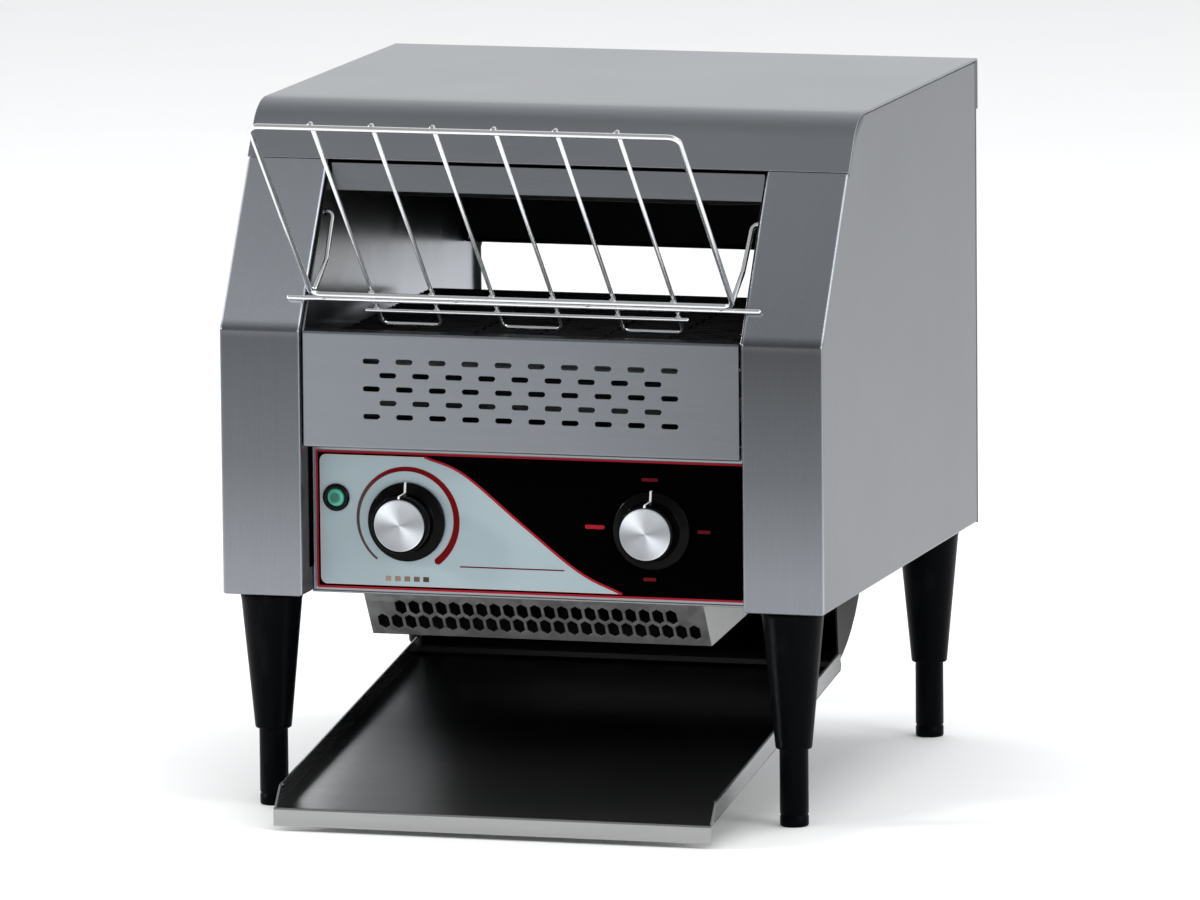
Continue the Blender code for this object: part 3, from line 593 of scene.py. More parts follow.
# painted shade: the oven walls grow dark towards the top, nearly black under the roof
WALL_PAINTED_SHADE_SHEET = PolishedSheet((0.46, 0.49, 0.54), 0.24, Fade(
    Axis.Z, 0.236, 0.372, ((0.0, 1.0), (0.35, 0.75), (0.75, 0.08), (1.0, 0.03))))
DECK_SHEET = PolishedSheet((0.10, 0.10, 0.10), 0.35)
TRAY_SPAN = (FRONT - 0.066, FRONT + 0.224)   # depths of the tray's lip and rear end
# painted reflection and shade down the tray: bright at the lip and front, dark in the middle, lighter near
# the back and near black at the rear edge
TRAY_PAINTED_REFLECTION = Fade(Axis.Y, *TRAY_SPAN, (
    (0.0, 0.72), (0.006, 0.72), (0.014, 0.95), (0.25, 0.80), (0.55, 0.30), (0.97, 0.60), (0.985, 0.02)))
TRAY_STEEL = BrushedSteel((0.52, 0.52, 0.52), Axis.X, 0.22, TRAY_PAINTED_REFLECTION, 0.16)
RIM_STEEL = BrushedSteel((0.34, 0.345, 0.35), Axis.Y, 0.28)
KNOB_MOULDING = Moulding((0.0010, 0.0010, 0.0014), 0.12, 0.000003, 0.07)
WELD_METAL = PlatedWire((0.55, 0.55, 0.56), 0.30)
RED_INK = PrintedFilm((0.330, 0.012, 0.022), shine=0.05)
DARK_RED_INK = PrintedFilm((0.110, 0.004, 0.007), shine=0.05)
BLACK_INK = PrintedFilm((0.0008, 0.0008, 0.0010), 0.30, 0.0, 0.05, 0.0)
PALE_INK = PrintedFilm((0.50, 0.44, 0.45))
GREY_INK = PrintedFilm((0.362, 0.452, 0.485), 0.40, 0.15)
WHITE_INK = PrintedFilm((0.85, 0.85, 0.85))
FLOOR_PAINT = PrintedFilm((0.93, 0.93, 0.93), 0.75, 0.0, 0.02, 0.2)


# --- Outlines and paths ------------------------------------------------------------------------------
def arc(centre: Point, radius: float, start: float, end: float, steps: int) -> list[Point]:
    """Points on an arc.

    Args:
        centre: its centre.
        radius: its radius.
        start: its first angle in degrees, from the first axis towards the second.
        end: its last angle in degrees.
        steps: the number of straight pieces.

    Returns:
        The points, one more than the steps.
    """
    turns = [radians(start + (end - start) * i / steps) for i in range(steps + 1)]
    return [(centre[0] + radius * cos(a), centre[1] + radius * sin(a)) for a in turns]


def inset(outline: Sequence[Point], distance: float) -> list[Point]:
    """A closed outline shrunk by a distance, with mitred corners.

    Args:
        outline: its corners, either way round.
        distance: how far each side moves inwards.

    Returns:
        The new corners, in the same order.
    """
    pairs = zip(outline, [*outline[1:], outline[0]])
    sign = 1.0 if sum(a[0] * b[1] - b[0] * a[1] for a, b in pairs) > 0 else -1.0
    lines = []
    for i, a in enumerate(outline):
        b = outline[(i + 1) % len(outline)]
        length = hypot(b[0] - a[0], b[1] - a[1])
        normal = (-sign * (b[1] - a[1]) / length, sign * (b[0] - a[0]) / length)
        lines.append((*normal, normal[0] * a[0] + normal[1] * a[1] + distance))
    moved = []
    for i in range(len(outline)):
        (a1, b1, d1), (a2, b2, d2) = lines[i - 1], lines[i]
        cross = a1 * b2 - b1 * a2
        moved.append(((d1 * b2 - d2 * b1) / cross, (a1 * d2 - a2 * d1) / cross))
    return moved


def bent(points: Iterable[Sequence[float]], radius: float | Sequence[float], steps: int = 4,
         closed: bool = False) -> list[tuple]:
    """A path or outline whose corners are bends.

    Args:
        points: its corners, in two or three coordinates.
        radius: the bends' radius, or one for each corner.
        steps: straight pieces in a bend.
        closed: whether the last corner joins the first.

    Returns:
        The points of the bent path.
    """
    path = [Vector(point) for point in points]
    radii = radius if isinstance(radius, (list, tuple)) else [radius] * len(path)
    result = []
    for i, corner in enumerate(path):
        if not closed and i in (0, len(path) - 1):
            result.append(tuple(corner))
            continue
        before = (path[i - 1] - corner).normalized()
        after = (path[(i + 1) % len(path)] - corner).normalized()
        half = 0.5 * before.angle(after)
        centre = corner + (before + after).normalized() * (radii[i] / sin(half))
        first = corner + before * (radii[i] / tan(half)) - centre
        last = corner + after * (radii[i] / tan(half)) - centre
        sweep_angle = first.angle(last)
        for k in range(steps + 1):
            part = k / steps
            turned = first * sin((1 - part) * sweep_angle) + last * sin(part * sweep_angle)
            result.append(tuple(centre + turned / sin(sweep_angle)))
    return result


def through(points: Sequence[Point], steps: int = 6) -> list[Point]:
    """A smooth curve through a few points.

    Args:
        points: where the curve passes.
        steps: straight pieces between two of them.

    Returns:
        The points of the curve, with both ends.
    """
    path = [Vector(point) for point in points]
    path = [path[0] * 2 - path[1], *path, path[-1] * 2 - path[-2]]
    result = []
    for a, b, c, d in zip(path, path[1:], path[2:], path[3:]):
        for k in range(steps):
            t = k / steps
            result.append(tuple(0.5 * (2 * b + (c - a) * t + (2 * a - 5 * b + 4 * c - d) * t * t
                                       + (3 * b - a - 3 * c + d) * t ** 3)))
    return [*result, tuple(path[-2])]


# --- Meshes ------------------------------------------------------------------------------------------
def loft(shape: bmesh.types.BMesh, rings: Sequence[Sequence[Sequence[float]]], closed: bool = True,
         ends: tuple[bool, bool] = (True, True)) -> None:
    """Skins a row of rings of points.

    Args:
        shape: the mesh to add to.
        rings: rings with the same number of points.
        closed: whether each ring's last point joins its first.
        ends: whether the first and the last ring are filled.
    """
    rows = [[shape.verts.new(point) for point in ring] for ring in rings]
    count = len(rows[0])
    for low, high in zip(rows, rows[1:]):
        for i in range(count if closed else count - 1):
            k = (i + 1) % count
            shape.faces.new((low[i], low[k], high[k], high[i]))
    for wanted, row in zip(ends, (rows[0], rows[-1])):
        if wanted:
            shape.faces.new(row)


def prism(shape: bmesh.types.BMesh, outline: Sequence[Point], low: float, high: float, axis: Axis) -> None:
    """Adds an outline extruded along an axis.

    Args:
        shape: the mesh to add to.
        outline: the outline, in the plane of the other two coordinates.
        low: where it starts along the axis.
        high: where it ends.
        axis: the axis' direction.
    """
    loft(shape, [[axis.spot(u, v, w) for u, v in outline] for w in (low, high)])


def lathe(shape: bmesh.types.BMesh, profile: Sequence[Point], centre: Point, axis: Axis, sides: int = 64,
          ring: bool = False) -> None:
    """Turns a profile of (radius, place along the axis) about an axis through a centre.

    Args:
        shape: the mesh to add to.
        profile: from axis to axis, or a closed loop where ring is true.
        centre: where the axis crosses the plane of the other two coordinates.
        axis: the axis' direction.
        sides: facets round the axis.
        ring: whether the profile closes on itself instead of on the axis.
    """
    rows = []
    for radius, along in profile:
        count = sides if radius > 1e-7 else 1
        circle = [(centre[0] + radius * cos(2 * pi * k / sides), centre[1] + radius * sin(2 * pi * k / sides))
                  for k in range(count)]
        rows.append([shape.verts.new(axis.spot(u, v, along)) for u, v in circle])
    if ring:
        rows.append(rows[0])
    for low, high in zip(rows, rows[1:]):
        for k in range(sides):
            n = (k + 1) % sides
            corners = (low[k % len(low)], low[n % len(low)], high[n % len(high)], high[k % len(high)])
            shape.faces.new(tuple(dict.fromkeys(corners)))


def sweep(shape: bmesh.types.BMesh, points: Sequence[Sequence[float]], radius: float, sides: int = 12,
          closed: bool = False) -> None:
    """Adds a round wire along a path, with rounded ends where it is open.

    Args:
        shape: the mesh to add to.
        points: the wire's centre line.
        radius: the wire's radius.
        sides: facets round the wire.
        closed: whether the last point joins the first.
    """
    path = [Vector(point) for point in points]
    count = len(path)
    normal = None
    rings = []
    for i, point in enumerate(path):
        before = path[i - 1] if closed or i > 0 else point
        after = path[(i + 1) % count] if closed or i < count - 1 else point
        along = (after - before).normalized()
        if normal is None:
            normal = along.orthogonal().normalized()
        normal = (normal - along * normal.dot(along)).normalized()
        side = along.cross(normal)
        circle = [normal * cos(2 * pi * k / sides) + side * sin(2 * pi * k / sides) for k in range(sides)]
        outward = -along if i == 0 else along
        rounding = [[point + spoke * radius * cos(t) + outward * radius * sin(t) * 0.7 for spoke in circle]
                    for t in (radians(40), radians(70))]
        if not closed and i == 0:
            rings += rounding[::-1]
        rings.append([point + spoke * radius for spoke in circle])
        if not closed and i == count - 1:
            rings += rounding
    if closed:
        rows = [[shape.verts.new(spot) for spot in ring] for ring in rings]
        for low, high in zip(rows, rows[1:] + rows[:1]):
            for k in range(sides):
                n = (k + 1) % sides
                shape.faces.new((low[k], low[n], high[n], high[k]))
    else:
        loft(shape, rings)


def bead(shape: bmesh.types.BMesh, centre: Vector, radius: float) -> None:
    """Adds a small flattened blob of weld metal."""
    made = bmesh.ops.create_icosphere(shape, subdivisions=2, radius=radius)["verts"]
    for vert in made:
        vert.co.x *= 1.25
        vert.co += Vector((0, 0, 0.12 * radius * sin(3000 * vert.co.x)))
    bmesh.ops.translate(shape, verts=made, vec=centre)


def solid(name: str, shape: bmesh.types.BMesh, sharp: float | None = None) -> Piece:
    """Makes an object of a shape that is drawn in depths from the columns' front face.

    Args:
        name: the object's name.
        shape: the shape, which is used up.
        sharp: edges over this angle in degrees stay sharp; without it all are smooth, for a bevel.

    Returns:
        The new object.
    """
    bmesh.ops.remove_doubles(shape, verts=shape.verts, dist=1e-6)
    bmesh.ops.recalc_face_normals(shape, faces=shape.faces)
    bmesh.ops.translate(shape, verts=shape.verts, vec=(0, FRONT, 0))
    mesh = bpy.data.meshes.new(name)
    shape.to_mesh(mesh)
    shape.free()
    mesh.shade_smooth()
    if sharp is not None:
        mesh.set_sharp_from_angle(angle=radians(sharp))
    item = bpy.data.objects.new(name, mesh)
    bpy.context.collection.objects.link(item)
    return item


def refine(item: Piece, thickness: float = 0.0, bevel: float = 0.0, angle: float = 35.0,
           segments: int = 2) -> Piece:
    """Gives a piece its sheet thickness, its rounded edges and even shading.

    Args:
        item: the piece.
        thickness: sheet thickness, added on the inside.
        bevel: width of the rounded edges.
        angle: edges over this many degrees are rounded.
        segments: facets of a rounded edge.

    Returns:
        The same piece.
    """
    if thickness:
        skin = item.modifiers.new("sheet", "SOLIDIFY")
        skin.thickness = thickness
        skin.offset = -1.0
        skin.use_even_offset = True
    if bevel:
        edges = item.modifiers.new("edges", "BEVEL")
        edges.width = bevel
        edges.segments = segments
        edges.limit_method = "ANGLE"
        edges.angle_limit = radians(angle)
    normals = item.modifiers.new("shading", "WEIGHTED_NORMAL")
    normals.keep_sharp = True
    return item


def apply_all(item: Piece) -> Piece:
    """Turns a piece's modifiers into mesh."""
    seen = item.evaluated_get(bpy.context.evaluated_depsgraph_get())
    mesh = bpy.data.meshes.new_from_object(seen)
    item.modifiers.clear()
    item.data = mesh
    return item


def cut(item: Piece, *shapes: bmesh.types.BMesh) -> Piece:
    """Takes shapes out of a piece for good.

    Args:
        item: the piece.
        shapes: closed shapes, which are used up.

    Returns:
        The same piece, with its modifiers turned into mesh.
    """
    tools = [solid(f"{item.name}_tool", shape) for shape in shapes]
    for tool in tools:
        step = item.modifiers.new("cut", "BOOLEAN")
        step.operation = "DIFFERENCE"
        step.solver = "EXACT"
        step.object = tool
    apply_all(item)
    for tool in tools:
        bpy.data.objects.remove(tool, do_unlink=True)
    return item


def softened(node: str, bevel: float = 0.00025, name: str | None = None) -> Piece:
    """A copy of a frame node with clean flat faces and rounded edges.

    Args:
        node: the node's name.
        bevel: width of the rounded edges.
        name: the new piece's name, which is the node's with "_skin" unless it is given.

    Returns:
        The new piece.
    """
    shape = bmesh.new()
    shape.from_mesh(frame["nodes"][node].data)
    bmesh.ops.remove_doubles(shape, verts=shape.verts, dist=2e-6)
    bmesh.ops.dissolve_limit(shape, angle_limit=radians(0.5), verts=shape.verts, edges=shape.edges)
    bmesh.ops.translate(shape, verts=shape.verts, vec=(0, -FRONT, 0))
    return refine(solid(name or f"{node}_skin", shape), bevel=bevel)


def settle(item: Piece, finish: Finish, body: str, slot: str, *replaced: str) -> Piece:
    """Dresses a piece, fastens it to a body and hides the nodes that it stands for.

    Args:
        item: the piece.
        finish: its surface.
        body: the body that it moves with.
        slot: the record's material slot; not used.
        replaced: nodes that it stands for.

    Returns:
        The same piece.
    """
    item.data.materials.clear()
    item.data.materials.append(finish.material())
    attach(item, body)
    if replaced:
        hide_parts(*replaced)
    return item


def skinned(node: str, bevel: float, finish: Finish, body: str, slot: str) -> Piece:
    """A softened copy of a frame node, dressed and put in its place.

    Args:
        node: the node's name.
        bevel: width of the rounded edges.
        finish: its surface.
        body: the body that it moves with.
        slot: the record's material slot, handed on to settle.

    Returns:
        The new piece.
    """
    return settle(softened(node, bevel), finish, body, slot, node)


def turned(name: str, profile: Sequence[Point], spot: Point, axis: Axis, sides: int, sharp: float = 50.0,
           ring: bool = False) -> Piece:
    """A piece turned from one profile.

    Args:
        name: the object's name.
        profile: pairs of radius and place along the axis.
        spot: where the axis crosses the plane of the other two coordinates.
        axis: the axis' direction.
        sides: facets round the axis.
        sharp: edges over this angle in degrees stay sharp.
        ring: whether the profile closes on itself instead of on the axis.

    Returns:
        The new object.
    """
    shape = bmesh.new()
    lathe(shape, profile, spot, axis, sides, ring)
    return solid(name, shape, sharp)


def hands() -> tuple[tuple[int, str], ...]:
    """The sign of X and the word for each side."""
    return ((-1, "left"), (1, "right"))


# --- The housing -------------------------------------------------------------------------------------
@dataclass
class SideCasings:
    """The two hollow columns that the legs carry: folded shells, open towards the oven."""

    outer: float = 0.1837
    inner: float = 0.1345
    bottom: float = 0.128
    knee: float = 0.286
    lean: float = radians(57.3)
    cap_edge: float = 0.3805
    cap_tuck: float = 0.0018
    cap_bend: float = 0.030
    clearance: float = 0.0003
    top: float = 0.4102
    depth: float = 0.3579
    edge_bend: float = 0.0022
    sheet: float = 0.0012
    flange: float = 0.015

    def slope(self, height: float, back: float = 0.0) -> float:
        """Depth of the leaning face at a height, moved back square to the face."""
        return (height - self.knee) / tan(self.lean) + back / sin(self.lean)

    def corners(self) -> list[Point]:
        """Side view of a casing, with the step that takes the cap."""
        edge = self.cap_edge - self.clearance
        step = (self.slope(edge), edge)
        tucked = (step[0] + self.cap_tuck * sin(self.lean), step[1] - self.cap_tuck * cos(self.lean))
        bend_top = self.top + 0.0018
        low = bend_top - self.cap_bend * (1 - cos(self.lean)) - 0.0015
        return [(0.0, self.bottom), (0.0, self.knee), step, tucked, (self.slope(low, self.cap_tuck), low),
                (self.slope(bend_top) + self.cap_bend * tan(self.lean / 2), self.top), (self.depth, self.top),
                (self.depth, self.bottom)]

    def ring(self, place: float, shrink: float) -> list[Vector]:
        """The outline at one X, shrunk by a distance."""
        bends = (0.0010, 0.0040, 0.0005, 0.0003, 0.0030, 0.0060, 0.0010, 0.0010)
        radii = [max(bend - shrink, 0.00015) for bend in bends]
        return [Vector((place, y, z)) for y, z in bent(inset(self.corners(), shrink), radii, 3, closed=True)]

    def build(self) -> list[Piece]:
        """Both casings, each lofted from its outer face over two bends to the flange of its open side."""
        made = []
        bend, steps = self.edge_bend, 5
        for side, hand in hands():
            rings = []
            for i in range(steps + 1):
                t = 0.5 * pi * i / steps
                rings.append(self.ring(side * (self.outer - bend * (1 - cos(t))), bend * (1 - sin(t))))
            for i in range(steps + 1):
                t = 0.5 * pi * i / steps
                rings.append(self.ring(side * (self.inner + bend * (1 - sin(t))), bend * (1 - cos(t))))
            rings.append(self.ring(side * self.inner, self.flange))
            shape = bmesh.new()
            loft(shape, rings, ends=(True, False))
            casing = refine(solid(f"column_{hand}", shape, 40.0), self.sheet)
            node = f"side_casing_{hand}"
            made.append(settle(casing, COLUMN_PAINTED_LIGHT_STEEL[hand], "housing", "brushed_stainless", node))
        return made


@dataclass
class TopCover:
    """The cap: one sheet over the top, bent down the leaning front and the back."""

    half: float = 0.184
    top: float = 0.412
    rear: float = 0.362
    skirt: float = 0.381
    bend: float = 0.030
    back_bend: float = 0.002
    sheet: float = 0.0015

    def build(self, casing: SideCasings) -> list[Piece]:
        """The folded sheet with its thin rounded edges."""
        start = (casing.slope(casing.cap_edge), casing.cap_edge)
        corner = (casing.slope(self.top), self.top)
        front = bent([start, corner, (self.rear, self.top)], self.bend, 24)[:-1]
        back = bent([corner, (self.rear, self.top), (self.rear, self.skirt)], self.back_bend, 5)[1:]
        shape = bmesh.new()
        rows = [[Vector((x, y, z)) for y, z in front + back] for x in (-self.half, self.half)]
        loft(shape, rows, closed=False, ends=(False, False))
        cap = solid("cap", shape)
        skin = cap.modifiers.new("sheet", "SOLIDIFY")
        skin.thickness = self.sheet
        skin.offset = -1.0 if self._faces_out(cap) else 1.0
        refine(cap, bevel=0.00035, angle=50.0)
        return [settle(cap, CAP_STEEL, "housing", "brushed_stainless", "top_cover")]

    @staticmethod
    def _faces_out(cap: Piece) -> bool:
        """Whether the sheet's flat top faces up."""
        flat = max(cap.data.polygons, key=lambda face: face.area)
        return flat.normal.z > 0


@dataclass
class FrontSheets:
    """The louvred sheet, the strip under the cap, the set-back panel and the back with its screws."""

    half: float = 0.1327
    vent_depth: float = 0.002
    vent_low: float = 0.217
    vent_high: float = 0.286
    slot: Point = (0.0104, 0.0030)
    pitch: Point = (0.0202, 0.0082)
    top_row: float = 0.2692
    top_return: float = 0.014
    low_return: float = 0.018
    sheet: float = 0.0012
    screw: float = 0.0034
    screw_x: float = 0.176
    screw_rows: tuple[float, float, float] = (0.140, 0.262, 0.372)

    def louvres(self) -> bmesh.types.BMesh:
        """All slots, as one set of round-ended cutters."""
        tools = bmesh.new()
        width, height = self.slot
        for row in range(5):
            count = 10 - row % 2
            for column in range(count):
                x = (column - 0.5 * (count - 1)) * self.pitch[0]
                z = self.top_row - row * self.pitch[1]
                reach, radius = 0.5 * (width - height), 0.5 * height
                ends = arc((x + reach, z), radius, -90, 90, 6) + arc((x - reach, z), radius, 90, 270, 6)
                prism(tools, ends, self.vent_depth - 0.003, self.vent_depth + 0.003, Axis.Y)
        return tools

    def vent_sheet(self) -> Piece:
        """The sheet under the belt's mouth, folded back above and below."""
        front, high, low, sheet = self.vent_depth, self.vent_high, self.vent_low, self.sheet
        path = bent([(self.top_return, high), (front, high), (front, low), (self.low_return, low)], 0.0016, 4)
        inner = bent([(self.top_return, high - sheet), (front + sheet, high - sheet),
                      (front + sheet, low + sheet), (self.low_return, low + sheet)], 0.0004, 4)
        shape = bmesh.new()
        prism(shape, path + inner[::-1], -self.half, self.half, Axis.X)
        sheet = cut(solid("vent_sheet", shape), self.louvres())
        sheet.data.shade_smooth()
        refine(sheet, bevel=0.0002, angle=40.0)
        return settle(sheet, VENT_STEEL, "housing", "brushed_stainless", "vent_panel")

    @staticmethod
    def cross(spot: Point, arm: float = 0.0018, half: float = 0.00035) -> list[Point]:
        """A cross slot's outline, turned from the three points of one quarter."""
        quarter = [(arm, half), (half, half), (half, arm)]
        outline = []
        for _ in range(4):
            outline += [(spot[0] + u, spot[1] + v) for u, v in quarter]
            quarter = [(-v, u) for u, v in quarter]
        return outline

    def screws(self) -> Piece:
        """Pan-head screws with a cross slot that hold the back sheet."""
        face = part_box("rear_panel")[1].y - FRONT
        radius = self.screw
        spots = [(side * self.screw_x, z) for side, _ in hands() for z in self.screw_rows]
        spots += [(0.0, self.screw_rows[0]), (0.0, self.screw_rows[-1])]
        shape, tool = bmesh.new(), bmesh.new()
        for spot in spots:
            head = [(0.0, face - 0.0004), (radius, face - 0.0004), (radius, face + 0.0006),
                    (radius * 0.85, face + 0.0013), (radius * 0.5, face + 0.0017), (0.0, face + 0.0018)]
            lathe(shape, head, spot, Axis.Y, 28)
            prism(tool, self.cross(spot), face + 0.0008, face + 0.003, Axis.Y)
        heads = cut(solid("back_screws", shape), tool)
        heads.data.shade_smooth()
        heads.data.set_sharp_from_angle(angle=radians(35))
        return settle(heads, SCREW_STEEL, "housing", "machined_steel")

    def build(self) -> list[Piece]:
        """Every flat sheet of the housing."""
        made = [self.vent_sheet(), self.screws()]
        for node, finish in (("rear_panel", BACK_STEEL), ("control_panel", PANEL_STEEL),
                             ("front_header", HEADER_PAINTED_SHADE_STEEL)):
            made.append(skinned(node, 0.0003, finish, "housing", "brushed_stainless"))
        made.append(skinned("base_pan", 0.0003, BASE_SHEET, "housing", "galvanised_sheet"))
        return made


# --- The oven ----------------------------------------------------------------------------------------
@dataclass
class Oven:
    """The bright tunnel round the belt, with its heaters and a dark sheet over the back window that stands
    for the oven's shade.
    """

    half: float = 0.1325
    baffle_depth: float = 0.3440
    baffle_low: float = 0.2945
    baffle_fold: float = 0.010
    roof: float = 0.3655
    heater_radius: float = 0.0040
    heater_span: Point = (-0.142, 0.122)

    def baffle(self) -> Piece:
        """A near-black sheet that closes the oven's back over the window, folded forwards below: painted
        shade for the dark depth of the oven.
        """
        depth, low = self.baffle_depth, self.baffle_low
        path = bent([(depth - self.baffle_fold, low), (depth, low), (depth, self.roof)], 0.002, 4)
        rows = [[Vector((x, y, z)) for y, z in path] for x in (-self.half, self.half)]
        shape = bmesh.new()
        loft(shape, rows, closed=False, ends=(False, False))
        sheet = refine(solid("back_baffle", shape, 60.0), 0.0010, 0.0002)
        return settle(sheet, PAINTED_SHADE_SHEET, "housing", "polished_stainless")

    def heater(self, node: str, first: float, last: float, height: float) -> Piece:
        """A hairpin tube.

        Args:
            node: the node that it stands for.
            first: depth of its first leg.
            last: depth of its last leg.
            height: height of the tube's centre line.

        Returns:
            The new piece.
        """
        start, reach = self.heater_span
        corners = [(x, y, height) for x, y in ((start, first), (reach, first), (reach, last), (start, last))]
        shape = bmesh.new()
        sweep(shape, bent(corners, 0.3 * (last - first), 10), self.heater_radius, 20)
        return settle(solid(f"{node}_tube", shape, 50.0), HEATER_SHEATH, "housing", "heater_sheath", node)

    def build(self) -> list[Piece]:
        """Walls, deck, reflector, baffle and both heaters."""
        made = []
        for _, hand in hands():
            made.append(skinned(f"oven_wall_{hand}", 0.0004, WALL_PAINTED_SHADE_SHEET, "housing", "polished_stainless"))
        # the upper reflector takes the near-black sheet too: painted shade under the oven's roof
        for node, finish in (("oven_deck", DECK_SHEET), ("upper_reflector", PAINTED_SHADE_SHEET)):
            made.append(skinned(node, 0.0003, finish, "housing", "polished_stainless"))
        made.append(self.baffle())
        made.append(self.heater("upper_heater", 0.130, 0.250, 0.354))
        made.append(self.heater("lower_heater", 0.085, 0.160, 0.2645))
        return made


@dataclass
class WireBelt:
    """The conveyor: cross wires round two shafts, hooked to each other at several places."""

    front: Point = (0.030, 0.2645)
    rear: Point = (0.216, 0.2645)
    radius: float = 0.0170
    half: float = 0.1195
    wires: int = 66
    wire: float = 0.0008
    hooks: int = 7
    hook: float = 0.0012

    def spot(self, part: float) -> tuple[Vector, Vector]:
        """A point of the loop and the direction of travel there, for a part of the way round."""
        straight = self.rear[0] - self.front[0]
        length = 2 * straight + 2 * pi * self.radius
        way = (part % 1.0) * length
        height = self.front[1]
        if way < straight:
            return Vector((self.front[0] + way, height + self.radius)), Vector((1, 0))
        way -= straight
        if way < pi * self.radius:
            turn = pi / 2 - way / self.radius
            return (Vector((self.rear[0] + self.radius * cos(turn), height + self.radius * sin(turn))),
                    Vector((sin(turn), -cos(turn))))
        way -= pi * self.radius
        if way < straight:
            return Vector((self.rear[0] - way, height - self.radius)), Vector((-1, 0))
        turn = -pi / 2 - (way - straight) / self.radius
        return (Vector((self.front[0] + self.radius * cos(turn), height + self.radius * sin(turn))),
                Vector((sin(turn), -cos(turn))))

    def build(self) -> list[Piece]:
        """All cross wires and hooks as one piece."""
        shape = bmesh.new()
        for i in range(self.wires):
            (y, z), _ = self.spot(i / self.wires)
            (y2, z2), _ = self.spot((i + 1) / self.wires)
            sweep(shape, [(-self.half, y, z), (self.half, y, z)], self.wire, 8)
            for k in range(self.hooks):
                place = (k / (self.hooks - 1) - 0.5) * 2
                x = place * (self.half - self.hook) + (0.5 if i % 2 else -0.5) * self.hook
                link = [(x, y, z), (x, 0.5 * (y + y2), 0.5 * (z + z2)), (x, y2, z2)]
                sweep(shape, link, self.wire * 0.9, 6)
        return [settle(solid("wire_belt", shape, 60.0), BELT_WIRE, "housing", "belt_steel", "conveyor_belt")]


@dataclass
class Drive:
    """Shafts, sprockets, bushes, chain and motor, as the frame has them, with softened edges."""

    def build(self) -> list[Piece]:
        """Replaces each part by its softened copy on its own body."""
        made = []
        bodies = frame["record"]["behaviour"]["bodies"]
        owner = {node: body for body, nodes in bodies.items() for node in nodes}
        sprockets = [f"{end}_sprocket_{hand}" for end in ("front", "rear") for _, hand in hands()]
        bushes = [f"bush_{end}_{hand}" for end in ("front", "rear") for _, hand in hands()]
        groups = (
            (DRIVE_STEEL, "machined_steel", ["front_shaft", "drive_shaft", *sprockets,
                                             "driven_chain_sprocket", "motor_sprocket", "drive_chain"]),
            (BUSH_BRONZE, "bronze", bushes),
            (MOTOR_CAST, "motor_metal", ["gear_motor"]),
            (BLACK_MOULDING, "black_plastic", ["speed_control", "selector_switch", "cord_gland", "fan_frame",
                                               "fan_rotor"]),
        )
        for finish, slot, nodes in groups:
            for node in nodes:
                made.append(skinned(node, 0.0002, finish, owner[node], slot))
        return made


